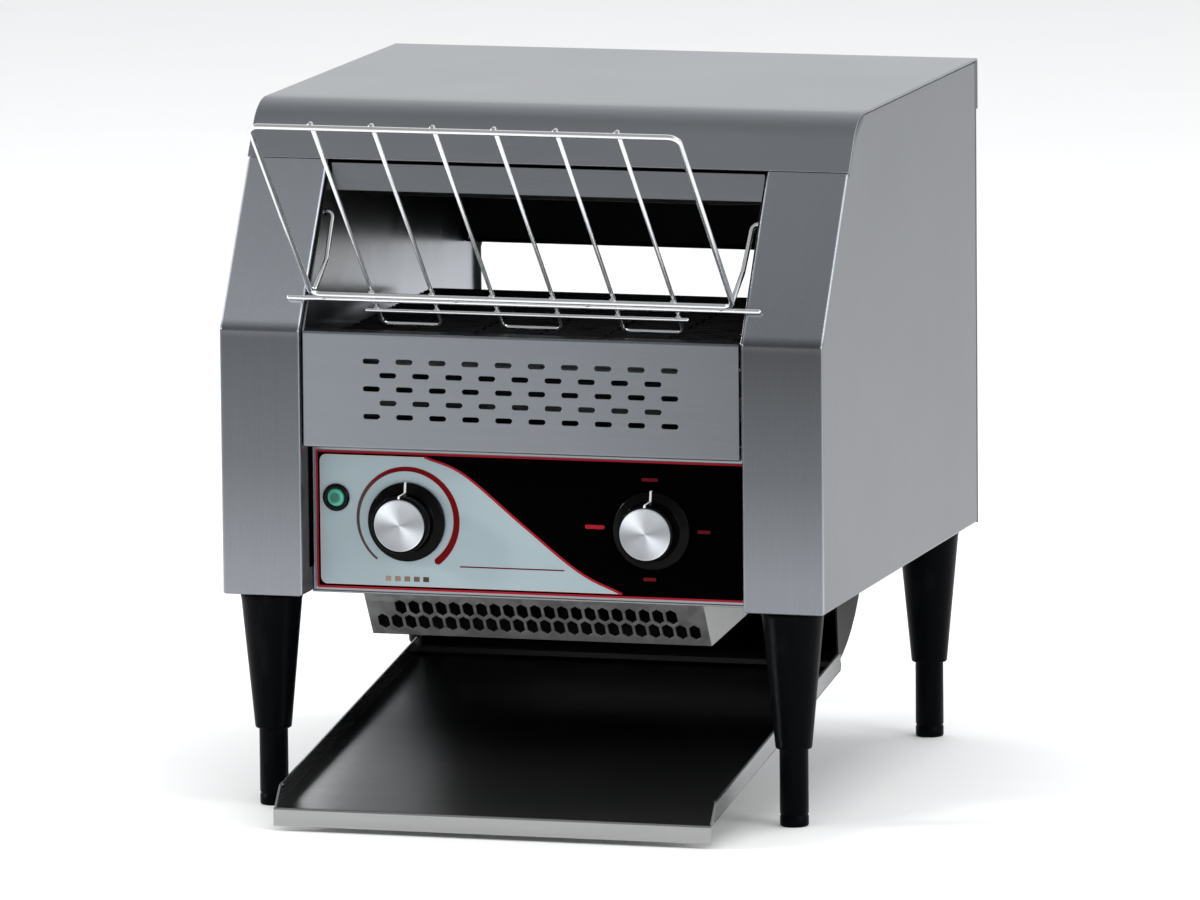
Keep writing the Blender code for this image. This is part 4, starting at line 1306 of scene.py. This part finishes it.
# --- The controls ------------------------------------------------------------------------------------
@dataclass
class Print:
    """The printed front: thin layers of ink on the overlay, each a little prouder than the last."""

    half: float = 0.1310
    low: float = 0.1310
    high: float = 0.2130
    line: float = 0.0013
    gap: float = 0.0011
    ink: float = 0.00005
    swoop_line: float = 0.0014
    knob: Point = (0.075, 0.172)
    dial_height: float = 0.173
    ring: float = 0.0303
    ring_ends: Point = (232.0, -52.0)
    ring_widths: Point = (0.0013, 0.0043)
    patches: int = 5
    patch_pitch: float = 0.0058

    def face(self) -> float:
        """Depth of the overlay's front."""
        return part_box("control_overlay")[0].y - FRONT

    def layer(self, name: str, outlines: Sequence[Sequence[Point]], level: int, finish: Finish) -> Piece:
        """One ink, laid on as flat shapes at a level.

        Args:
            name: the new piece's name.
            outlines: the shapes, seen from the front.
            level: how many thicknesses of ink it stands proud.
            finish: the ink.

        Returns:
            The new piece.
        """
        shape = bmesh.new()
        face = self.face()
        for outline in outlines:
            prism(shape, outline, face - level * self.ink, face, Axis.Y)
        return settle(solid(name, shape, 30.0), finish, "housing", "printed_overlay")

    def rectangle(self, shrink: float, radius: float) -> list[Point]:
        """The overlay's outline with round corners, shrunk by a distance."""
        half, low, high = self.half - shrink, self.low + shrink, self.high - shrink
        corners = [(-half, low), (half, low), (half, high), (-half, high)]
        return bent(corners, radius, 5, closed=True)

    def swoop(self) -> list[Point]:
        """The S-shaped boundary between the grey and the black field."""
        margin = self.line + self.gap
        return through([(-0.0640, self.high - margin), (-0.0400, 0.2010), (-0.0040, 0.1720), (0.0298, 0.1457),
                        (0.0560, self.low + margin)], 9)

    def fields(self) -> list[Piece]:
        """Border, dark line, both fields and the red line between them."""
        margin = self.line + self.gap
        half, low, high = self.half - margin, self.low + margin, self.high - margin
        curve = self.swoop()
        radius = 0.0040
        grey = (curve + arc((-half + radius, low + radius), radius, 270, 180, 6)
                + arc((-half + radius, high - radius), radius, 180, 90, 6))
        black = [*curve, (half, low), (half, high)]
        edge = self._ribbon(curve, self.swoop_line)
        return [
            self.layer("print_border", [self.rectangle(0.0, 0.0012)], 1, RED_INK),
            self.layer("print_ground", [self.rectangle(self.line, 0.0010)], 2, BLACK_INK),
            self.layer("print_grey_edge", [grey], 3, PALE_INK),
            self.layer("print_grey_field", [inset(self._tidy(grey), 0.0006)], 4, GREY_INK),
            self.layer("print_black_field", [black], 4, BLACK_INK),
            self.layer("print_swoop_line", [edge], 5, RED_INK),
        ]

    @staticmethod
    def _tidy(outline: Sequence[Point]) -> list[Point]:
        """An outline without points that repeat or lie on a straight run."""
        kept = []
        for i, spot in enumerate(outline):
            before, after = Vector(outline[i - 1]), Vector(outline[(i + 1) % len(outline)])
            here = Vector(spot)
            if (here - before).length > 1e-6 and abs((here - before).cross(after - here)) > 1e-12:
                kept.append(spot)
        return kept

    @staticmethod
    def _ribbon(path: Sequence[Point], width: float) -> list[Point]:
        """The outline of a line of even width along a path."""
        left, right = [], []
        for i, spot in enumerate(path):
            before, after = Vector(path[max(i - 1, 0)]), Vector(path[min(i + 1, len(path) - 1)])
            along = (after - before).normalized() * 0.5 * width
            left.append((spot[0] - along.y, spot[1] + along.x))
            right.append((spot[0] + along.y, spot[1] - along.x))
        return left + right[::-1]

    def dial_ring(self) -> Piece:
        """The browning scale: an arc over the left knob that grows from thin to thick."""
        centre, radius = (-self.knob[0], self.dial_height), self.ring
        (start, end), (thin, thick), steps = self.ring_ends, self.ring_widths, 60
        outer, inner = [], []
        for i in range(steps + 1):
            part = i / steps
            turn = radians(start + (end - start) * part)
            half = 0.5 * (thin + (thick - thin) * part)
            for row, reach in ((outer, radius + half), (inner, radius - half)):
                row.append((centre[0] + reach * cos(turn), centre[1] + reach * sin(turn)))
        tip = radians(end)
        cap_centre = (centre[0] + radius * cos(tip), centre[1] + radius * sin(tip))
        cap = arc(cap_centre, thick / 2, end, end - 180, 8)[1:-1]
        finish = DialInk((0.150, 0.001, 0.003), centre=centre)
        return self.layer("dial_ring", [outer + cap + inner[::-1]], 6, finish)

    @staticmethod
    def bar(middle: Point, width: float, height: float, corner: float = 0.45) -> list[Point]:
        """A small bar, whose corners are rounded by a part of its height."""
        left, right = middle[0] - width / 2, middle[0] + width / 2
        low, high = middle[1] - height / 2, middle[1] + height / 2
        return bent([(left, low), (right, low), (right, high), (left, high)], corner * height, 4, closed=True)

    def marks(self) -> list[Piece]:
        """Four position marks round the right knob, a plain rule and a row of browning patches."""
        x, z = self.knob
        dim = [self.bar((x - 0.0015, z + 0.0298), 0.0100, 0.0020),
               self.bar((x + 0.0312, z), 0.0080, 0.0020),
               self.bar((x - 0.0020, z - 0.0292), 0.0080, 0.0020)]
        home = self.bar((x - 0.0352, z + 0.0008), 0.0120, 0.0024)
        rule = self.bar((-0.0110, 0.1462), 0.0640, 0.0008)
        made = [self.layer("selector_marks", dim, 5, DARK_RED_INK),
                self.layer("selector_home_mark", [home], 5, RED_INK),
                self.layer("overlay_rule", [rule], 5, DARK_RED_INK)]
        for i in range(self.patches):
            part = i / (self.patches - 1)
            ink = PrintedFilm((0.34 - 0.28 * part, 0.24 - 0.22 * part, 0.17 - 0.16 * part), 0.32)
            square = self.bar((-0.0870 + i * self.patch_pitch, 0.1378), 0.0036, 0.0030, 0.12)
            made.append(self.layer(f"browning_patch_{i + 1}", [square], 5, ink))
        return made

    def build(self) -> list[Piece]:
        """The film and all its inks."""
        film = skinned("control_overlay", 0.0001, GREY_INK, "housing", "printed_overlay")
        return [film, *self.fields(), self.dial_ring(), *self.marks()]


@dataclass
class Knob:
    """One skirted knob with a spun metal face and a white pointer."""

    node: str
    body: str
    x: float
    z: float = 0.172
    front: float = 0.0020
    skirt: float = 0.0235
    grip: float = 0.0173
    face: float = 0.0154
    seat: float = 0.0189
    stem: float = 0.0030
    stem_end: float = 0.0262
    pointer_width: float = 0.0013

    def handle(self) -> Piece:
        """Skirt, grip and the rim round the face, in one moulding."""
        seat, front, face, grip, skirt = self.seat, self.front, self.face, self.grip, self.skirt
        profile = [(0.0, front + 0.0008), (face + 0.0003, front + 0.0008), (face + 0.0004, front + 0.0001),
                   (face + 0.0007, front), (face + 0.0011, front + 0.0001), (grip - 0.0004, front + 0.0005),
                   (grip - 0.0002, front + 0.0011), (grip, seat - 0.0052), (grip + 0.0003, seat - 0.0043),
                   (grip + 0.0010, seat - 0.0039), (skirt - 0.0012, seat - 0.0034),
                   (skirt - 0.0004, seat - 0.0031), (skirt - 0.00005, seat - 0.0025), (skirt, seat - 0.0004),
                   (skirt - 0.0003, seat), (self.stem, seat), (self.stem, self.stem_end),
                   (0.0, self.stem_end)]
        made = turned(f"{self.node}_moulding", profile, (self.x, self.z), Axis.Y, 96)
        return settle(made, KNOB_MOULDING, self.body, "black_plastic", self.node)

    def disc(self) -> Piece:
        """The spun face, slightly dished, with a turned rim."""
        front, radius = self.front, self.face
        profile = [(0.0, front + 0.00035), (radius * 0.5, front + 0.0003), (radius - 0.0012, front + 0.0002),
                   (radius - 0.0007, front + 0.0001), (radius - 0.0003, front + 0.0001),
                   (radius, front + 0.0003), (radius, front + 0.00075), (0.0, front + 0.00075)]
        finish = SpunMetal((0.66, 0.69, 0.73), (self.x, self.z))
        made = turned(f"{self.node}_face", profile, (self.x, self.z), Axis.Y, 96, 40.0)
        return settle(made, finish, self.body, "spun_aluminium", f"{self.node}_cap")

    def pointer(self) -> Piece:
        """The white line over the skirt, the grip and its rim."""
        seat, front, face, grip, skirt = self.seat, self.front, self.face, self.grip, self.skirt
        path = [(seat - 0.0012, skirt + 0.00012), (seat - 0.0026, skirt + 0.0001),
                (seat - 0.0033, skirt - 0.0004), (seat - 0.0041, grip + 0.0010),
                (seat - 0.0046, grip + 0.0004),
                (front + 0.0012, grip + 0.00012), (front + 0.0002, grip - 0.0004),
                (front - 0.00012, face + 0.0010), (front - 0.00010, face + 0.0005)]
        rows = [[Vector((self.x + side * self.pointer_width / 2, depth, self.z + radius))
                 for depth, radius in path] for side, _ in hands()]
        shape = bmesh.new()
        loft(shape, rows, closed=False, ends=(False, False))
        strip = refine(solid(f"{self.node}_pointer", shape, 60.0), 0.00018)
        strip.modifiers["sheet"].offset = 0.0
        return settle(strip, WHITE_INK, self.body, "black_plastic")

    def build(self) -> list[Piece]:
        """Moulding, face and pointer."""
        return [self.handle(), self.disc(), self.pointer()]


@dataclass
class PilotLamp:
    """The round green lamp and its bezel."""

    x: float = -0.1185
    z: float = 0.185
    seat: float = 0.0189

    def build(self) -> list[Piece]:
        """Bezel and lens."""
        seat = self.seat
        ring = [(0.0082, seat), (0.0082, seat - 0.0008), (0.0079, seat - 0.0014), (0.0072, seat - 0.0021),
                (0.0066, seat - 0.0023), (0.0059, seat - 0.0022), (0.0054, seat - 0.0017), (0.0054, 0.042),
                (0.0060, 0.042), (0.0060, seat)]
        glass = [(0.0, seat - 0.0032), (0.0012, seat - 0.00315), (0.0024, seat - 0.0030),
                 (0.0036, seat - 0.0026), (0.0045, seat - 0.0020), (0.0050, seat - 0.0012),
                 (0.0051, seat - 0.0004), (0.0051, 0.038), (0.0, 0.038)]
        spot = (self.x, self.z)
        bezel = turned("lamp_ring", ring, spot, Axis.Y, 56, ring=True)
        lens = turned("lamp_glass", glass, spot, Axis.Y, 56, 40.0)
        green = LampLens((0.004, 0.080, 0.055), spot)
        return [settle(bezel, BLACK_MOULDING, "housing", "black_plastic", "lamp_bezel"),
                settle(lens, green, "housing", "lamp_green", "lamp_lens")]


# --- The rack, the tray and the chute ----------------------------------------------------------------
@dataclass
class BreadRack:
    """The lifting rack: a wire frame with three bent rods, arms, bars and weld beads."""

    pin: Point = (0.0515, 0.3499)
    rest: Point = (0.00955, 0.3046)
    foot: Point = (0.0070, 0.3073)
    head: Point = (-0.1087, 0.4210)
    tail: Point = (0.0305, 0.2878)
    arm: tuple[Point, Point] = ((0.0096, 0.3101), (0.033, 0.3237))
    half: float = 0.1287
    wire: float = 0.0017
    rod: float = 0.00125
    bar: float = 0.0015
    pitch: float = 0.0368
    gap: float = 0.0003
    rest_half: float = 0.1435
    cross_half: float = 0.098
    cross_place: float = 0.0145
    arm_x: tuple[float, float, float] = (0.1272, 0.1284, 0.139)

    def wire_piece(self, name: str, node: str, points: Sequence, radius: float, closed: bool = False,
                   sides: int = 14) -> Piece:
        """One bent wire that stands for a node of the frame.

        Args:
            name: the new piece's name.
            node: the node that it stands for.
            points: the wire's centre line.
            radius: the wire's radius.
            closed: whether the wire is one closed hoop.
            sides: facets round the wire.

        Returns:
            The new piece.
        """
        shape = bmesh.new()
        sweep(shape, points, radius, sides, closed)
        return settle(solid(name, shape, 60.0), RACK_WIRE, "bread_rack", "chrome_wire", node)

    def lift(self) -> Vector:
        """From the frame's plane to the rods that lie behind it."""
        lean = Vector((0, self.head[0] - self.foot[0], self.head[1] - self.foot[1])).normalized()
        return Vector((0, lean.z, -lean.y)) * (self.wire + self.rod + self.gap)

    def welds(self, spots: Iterable[tuple[Vector, float]]) -> Piece:
        """Beads where wires cross."""
        shape = bmesh.new()
        for spot, radius in spots:
            bead(shape, spot, radius)
        return settle(solid("rack_weld_beads", shape, 70.0), WELD_METAL, "bread_rack", "chrome_wire")

    def build(self) -> list[Piece]:
        """Every wire of the rack."""
        corners = [(side * self.half, *spot) for side, spot in
                   ((-1, self.foot), (1, self.foot), (1, self.head), (-1, self.head))]
        hoop = bent(corners, 0.006, 8, closed=True)
        made = [self.wire_piece("rack_hoop", "rack_frame", hoop, self.wire, True)]
        ends = [(x, *self.rest) for x in (-self.rest_half, 0.0, self.rest_half)]
        made.append(self.wire_piece("rack_rest_bar", "rack_pivot_bar", ends, self.bar))
        low_x, pin_x, end_x = self.arm_x
        for side, hand in hands():
            low, elbow = ((side * low_x, *spot) for spot in self.arm)
            path = bent([low, elbow, (side * pin_x, *self.pin), (side * end_x, *self.pin)], 0.004, 6)
            made.append(self.wire_piece(f"rack_hook_{hand}", f"rack_arm_{hand}", path, self.bar))

        lift = self.lift()
        top, low = Vector((0, *self.head)), Vector((0, *self.foot))
        head, foot, tail = top + lift, low + lift, Vector((0, *self.tail))
        beads = []
        for first, hand in ((-2.5, "left"), (-0.5, "middle"), (1.5, "right")):
            shifts = [Vector((k * self.pitch, 0, 0)) for k in (first, first + 1)]
            path = [p + shifts[0] for p in (head, foot, tail)] + [p + shifts[1] for p in (tail, foot, head)]
            rods = bent(path, 0.0045, 6)
            made.append(self.wire_piece(f"rack_rods_{hand}", f"rack_wire_{hand}", rods, self.rod))
            beads += [(end + lift * 0.55 + shift, 0.0017) for shift in shifts for end in (top, low)]
        fall = (tail - foot).normalized()
        under = Vector((0, fall.z, -fall.y)) * (2 * self.rod + self.gap)
        centre = foot + fall * self.cross_place + under
        bar = [centre + Vector((x, 0, 0)) for x in (-self.cross_half, 0.0, self.cross_half)]
        made.append(self.wire_piece("rack_cross_bar", "rack_lower_bar", bar, self.rod))
        for k in range(6):
            beads.append((centre - under * 0.5 + Vector(((k - 2.5) * self.pitch, 0, 0)), 0.0015))
        between = 0.5 * (Vector((0, *self.rest)) + low)
        beads += [(between + Vector((x, 0, 0)), 0.0016) for x in (-0.121, -0.04, 0.04, 0.121)]
        made.append(self.welds(beads))
        return made


@dataclass
class ToastTray:
    """The sloping tray: a folded sheet with a lip at the front and a hemmed rim on each side."""

    half: float = 0.133
    front: float = -0.066
    rear: float = 0.224
    front_height: float = 0.0136
    slope: float = 0.1532
    rim: float = 0.010
    back_lip: float = 0.0042
    lip_low: float = 0.003
    sheet: float = 0.0012

    def height(self, depth: float) -> float:
        """Height of the tray's surface."""
        return self.front_height + self.slope * (depth - self.front)

    def strip(self, shape: bmesh.types.BMesh, path: Sequence[Point], low: float, high: float) -> None:
        """A folded sheet of the tray's thickness, its visible face along the path."""
        moved = []
        for i, spot in enumerate(path):
            before, after = Vector(path[max(i - 1, 0)]), Vector(path[min(i + 1, len(path) - 1)])
            along = (after - before).normalized()
            moved.append((spot[0] + along.y * self.sheet, spot[1] - along.x * self.sheet))
        prism(shape, list(path) + moved[::-1], low, high, Axis.X)

    def build(self) -> list[Piece]:
        """The bottom with its lip, and both rims."""
        shape = bmesh.new()
        rear = self.rear - 0.0002
        corners = [(self.front, self.lip_low), (self.front, self.front_height), (rear, self.height(rear)),
                   (rear, self.height(rear) + self.back_lip)]
        self.strip(shape, bent(corners, 0.0014, 5), -self.half, self.half)
        sheet = refine(solid("tray_sheet", shape), bevel=0.0003)
        made = [settle(sheet, TRAY_STEEL, "tray", "brushed_stainless", "toast_tray")]
        start, chamfer, inner = self.front + self.sheet, self.front + 0.0117, self.half - self.sheet
        for side, hand in hands():
            rim = bmesh.new()
            outline = bent([(start, self.height(start) - 0.0006),
                            (self.rear, self.height(self.rear) - 0.0006),
                            (self.rear, self.height(self.rear) + self.rim),
                            (chamfer, self.height(chamfer) + self.rim)],
                           [0.0006, 0.0006, 0.0015, 0.0030], 4, closed=True)
            prism(rim, outline, side * inner, side * self.half, Axis.X)
            hem = [(side * inner, y, self.height(y) + self.rim - 0.0006)
                   for y in (start + 0.013, self.rear - 0.002)]
            sweep(rim, hem, 0.0009, 10)
            edge = refine(solid(f"tray_rim_{hand}", rim), bevel=0.00035)
            made.append(settle(edge, RIM_STEEL, "tray", "brushed_stainless"))
        chute = softened("rear_chute", 0.0004, "chute_sheet")
        made.append(settle(chute, CHUTE_PAINTED_SHADE_STEEL, "housing", "brushed_stainless", "rear_chute"))
        return made


# --- Legs and cooling --------------------------------------------------------------------------------
@dataclass
class Legs:
    """Four tapered sleeves, each round a foot that screws in and out."""

    top: float = 0.1277
    sleeve_low: float = 0.046
    wide: float = 0.0185
    narrow: float = 0.01075
    foot: float = 0.0085
    socket: float = 0.122
    tube: float = 0.1000

    def sleeve(self, end: str, hand: str, spot: Point) -> Piece:
        """A tapered sleeve with a thin collar under the housing."""
        low = self.sleeve_low
        profile = [(0.0, self.top), (self.wide - 0.0006, self.top), (self.wide, self.top - 0.0006),
                   (self.wide - 0.0001, self.top - 0.0030), (self.wide - 0.0004, self.top - 0.0038),
                   (self.narrow + 0.0001, low + 0.0012), (self.narrow - 0.0002, low + 0.0004),
                   (self.narrow - 0.0008, low), (self.foot + 0.0004, low), (self.foot + 0.0003, low + 0.0006),
                   (self.foot + 0.0003, self.socket), (0.0, self.socket)]
        node = f"leg_sleeve_{end}_{hand}"
        made = turned(f"{node}_moulding", profile, spot, Axis.Z, 64)
        return settle(made, LEG_MOULDING, "housing", "leg_black", node)

    def glide(self, end: str, hand: str, spot: Point) -> Piece:
        """The foot with a chamfered sole and a shallow groove over it."""
        radius = self.foot
        profile = [(0.0, 0.0), (radius - 0.0010, 0.0), (radius - 0.0003, 0.0004), (radius, 0.0011),
                   (radius, 0.0060), (radius - 0.0004, 0.0064), (radius - 0.0004, 0.0074), (radius, 0.0078),
                   (radius, self.tube - 0.0004), (radius - 0.0004, self.tube), (0.0, self.tube)]
        node = f"leg_foot_{end}_{hand}"
        made = turned(f"{node}_glide", profile, spot, Axis.Z, 56)
        return settle(made, LEG_MOULDING, f"foot_{end}_{hand}", "leg_black", node)

    def build(self) -> list[Piece]:
        """All four legs."""
        made = []
        for end in ("front", "rear"):
            for _, hand in hands():
                low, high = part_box(f"leg_foot_{end}_{hand}")
                spot = (0.5 * (low.x + high.x), 0.5 * (low.y + high.y) - FRONT)
                made += [self.sleeve(end, hand, spot), self.glide(end, hand, spot)]
        return made


@dataclass
class CoolingPan:
    """The perforated trough that the fan draws its air through."""

    def build(self) -> list[Piece]:
        """The trough with soft edges round every hole."""
        return [skinned("lower_vent_pan", 0.00012, PAN_SHEET, "housing", "galvanised_sheet")]


# --- The studio --------------------------------------------------------------------------------------
@dataclass
class Studio:
    """A pale floor, soft boxes and the camera."""

    azimuth: float = radians(16.22)
    elevation: float = radians(8.70)
    roll: float = radians(-0.55)
    distance: float = 7.759
    target: Scale = (-0.0092, 0.2, 0.1897)
    lens: float = 388.05
    dark_way: Scale = (-0.26, -0.52, 0.81)
    room_light: float = 1.04

    def camera(self) -> None:
        """A long lens, far off, a little to the right and above."""
        a, e, r = self.azimuth, self.elevation, self.roll
        back = Vector((sin(a) * cos(e), -cos(a) * cos(e), sin(e)))
        level, up = Vector((cos(a), sin(a), 0)), Vector((-sin(a) * sin(e), cos(a) * sin(e), cos(e)))
        right = level * cos(r) + up * sin(r)
        top = up * cos(r) - level * sin(r)
        data = bpy.data.cameras.new("studio_camera")
        data.lens = self.lens
        data.sensor_width = 36.0
        data.clip_end = 200.0
        item = bpy.data.objects.new("studio_camera", data)
        bpy.context.collection.objects.link(item)
        place = Vector(self.target) + Vector((0, FRONT, 0)) + back * self.distance
        item.matrix_world = Matrix.Translation(place) @ Matrix((right, top, back)).transposed().to_4x4()
        bpy.context.scene.camera = item

    def soft_box(self, name: str, place: Scale, aim: Scale, size: Point, power: float,
                 seen: bool = True) -> None:
        """A rectangular light that faces a point.

        Args:
            name: the light's name.
            place: where it stands.
            aim: the point that it faces.
            size: its width and height.
            power: its power in watts.
            seen: whether steel mirrors it.
        """
        data = bpy.data.lights.new(name, "AREA")
        data.shape = "RECTANGLE"
        data.size, data.size_y = size
        data.energy = power
        item = bpy.data.objects.new(name, data)
        bpy.context.collection.objects.link(item)
        item.visible_glossy = seen
        item.location = place
        item.rotation_euler = (Vector(aim) - Vector(place)).to_track_quat("-Z", "Y").to_euler()

    def surroundings(self) -> None:
        """A white room whose ceiling is dark over the front, which steel shows as its darker faces."""
        world = bpy.data.worlds.new("studio_room")
        bpy.context.scene.world = world
        world.use_nodes = True
        shading = Shading(world.node_tree)
        way = shading.node("TexCoord", output="Generated")
        sockets = {0: way, 1: self.dark_way}
        dark = shading.node("VectorMath", {"operation": "DOT_PRODUCT"}, sockets, "Value")
        level = 1.0 - dark.step(0.30, 0.85) * 0.60
        colour = shading.scaled((0.98, 0.99, 1.0), level)
        light = shading.node("Background", None, {"Color": colour, "Strength": self.room_light})
        shading.node("OutputWorld", None, {"Surface": light})

    def floor(self) -> None:
        """A wide pale floor."""
        shape = bmesh.new()
        bmesh.ops.create_grid(shape, x_segments=8, y_segments=8, size=40.0)
        ground = solid("studio_floor", shape)
        ground.data.materials.append(FLOOR_PAINT.material())

    def build(self) -> None:
        """Everything round the toaster."""
        self.camera()
        self.surroundings()
        self.floor()
        self.soft_box("box_right", (3.2, -1.2, 1.5), (0, 0, 0.2), (1.2, 1.8), 30.0)
        self.soft_box("box_left", (-2.7, -1.05, 1.25), (0, 0, 0.2), (0.25, 0.45), 36.0)
        self.soft_box("box_over", (0.0, 0.0, 4.0), (0, 0, 0.0), (4.0, 4.0), 120.0, seen=False)
        bpy.context.scene.view_settings.view_transform = "Standard"


def main() -> None:
    """Builds the studio and every sub-assembly, in order, and reports each piece."""
    logging.basicConfig(level=logging.INFO, format="%(name)s: %(message)s")
    Studio().build()
    casings = SideCasings()
    parts = [("columns", casings.build()), ("cap", TopCover().build(casings))]
    for group, assembly in (("sheets", FrontSheets()), ("oven", Oven()), ("belt", WireBelt()),
                            ("drive", Drive()), ("print", Print()), ("lamp", PilotLamp()),
                            ("rack", BreadRack()), ("tray", ToastTray()), ("legs", Legs()),
                            ("cooling", CoolingPan())):
        parts.append((group, assembly.build()))
    for side, setting in ((-1, "colour"), (1, "selector")):
        parts.append((f"{setting}_knob", Knob(f"{setting}_knob", f"{setting}_control", side * 0.075).build()))
    for group, pieces in parts:
        for piece in pieces:
            LOG.info("%s: %s, %d faces", group, piece.name, len(piece.data.polygons))


if __name__ == "__main__":
    main()
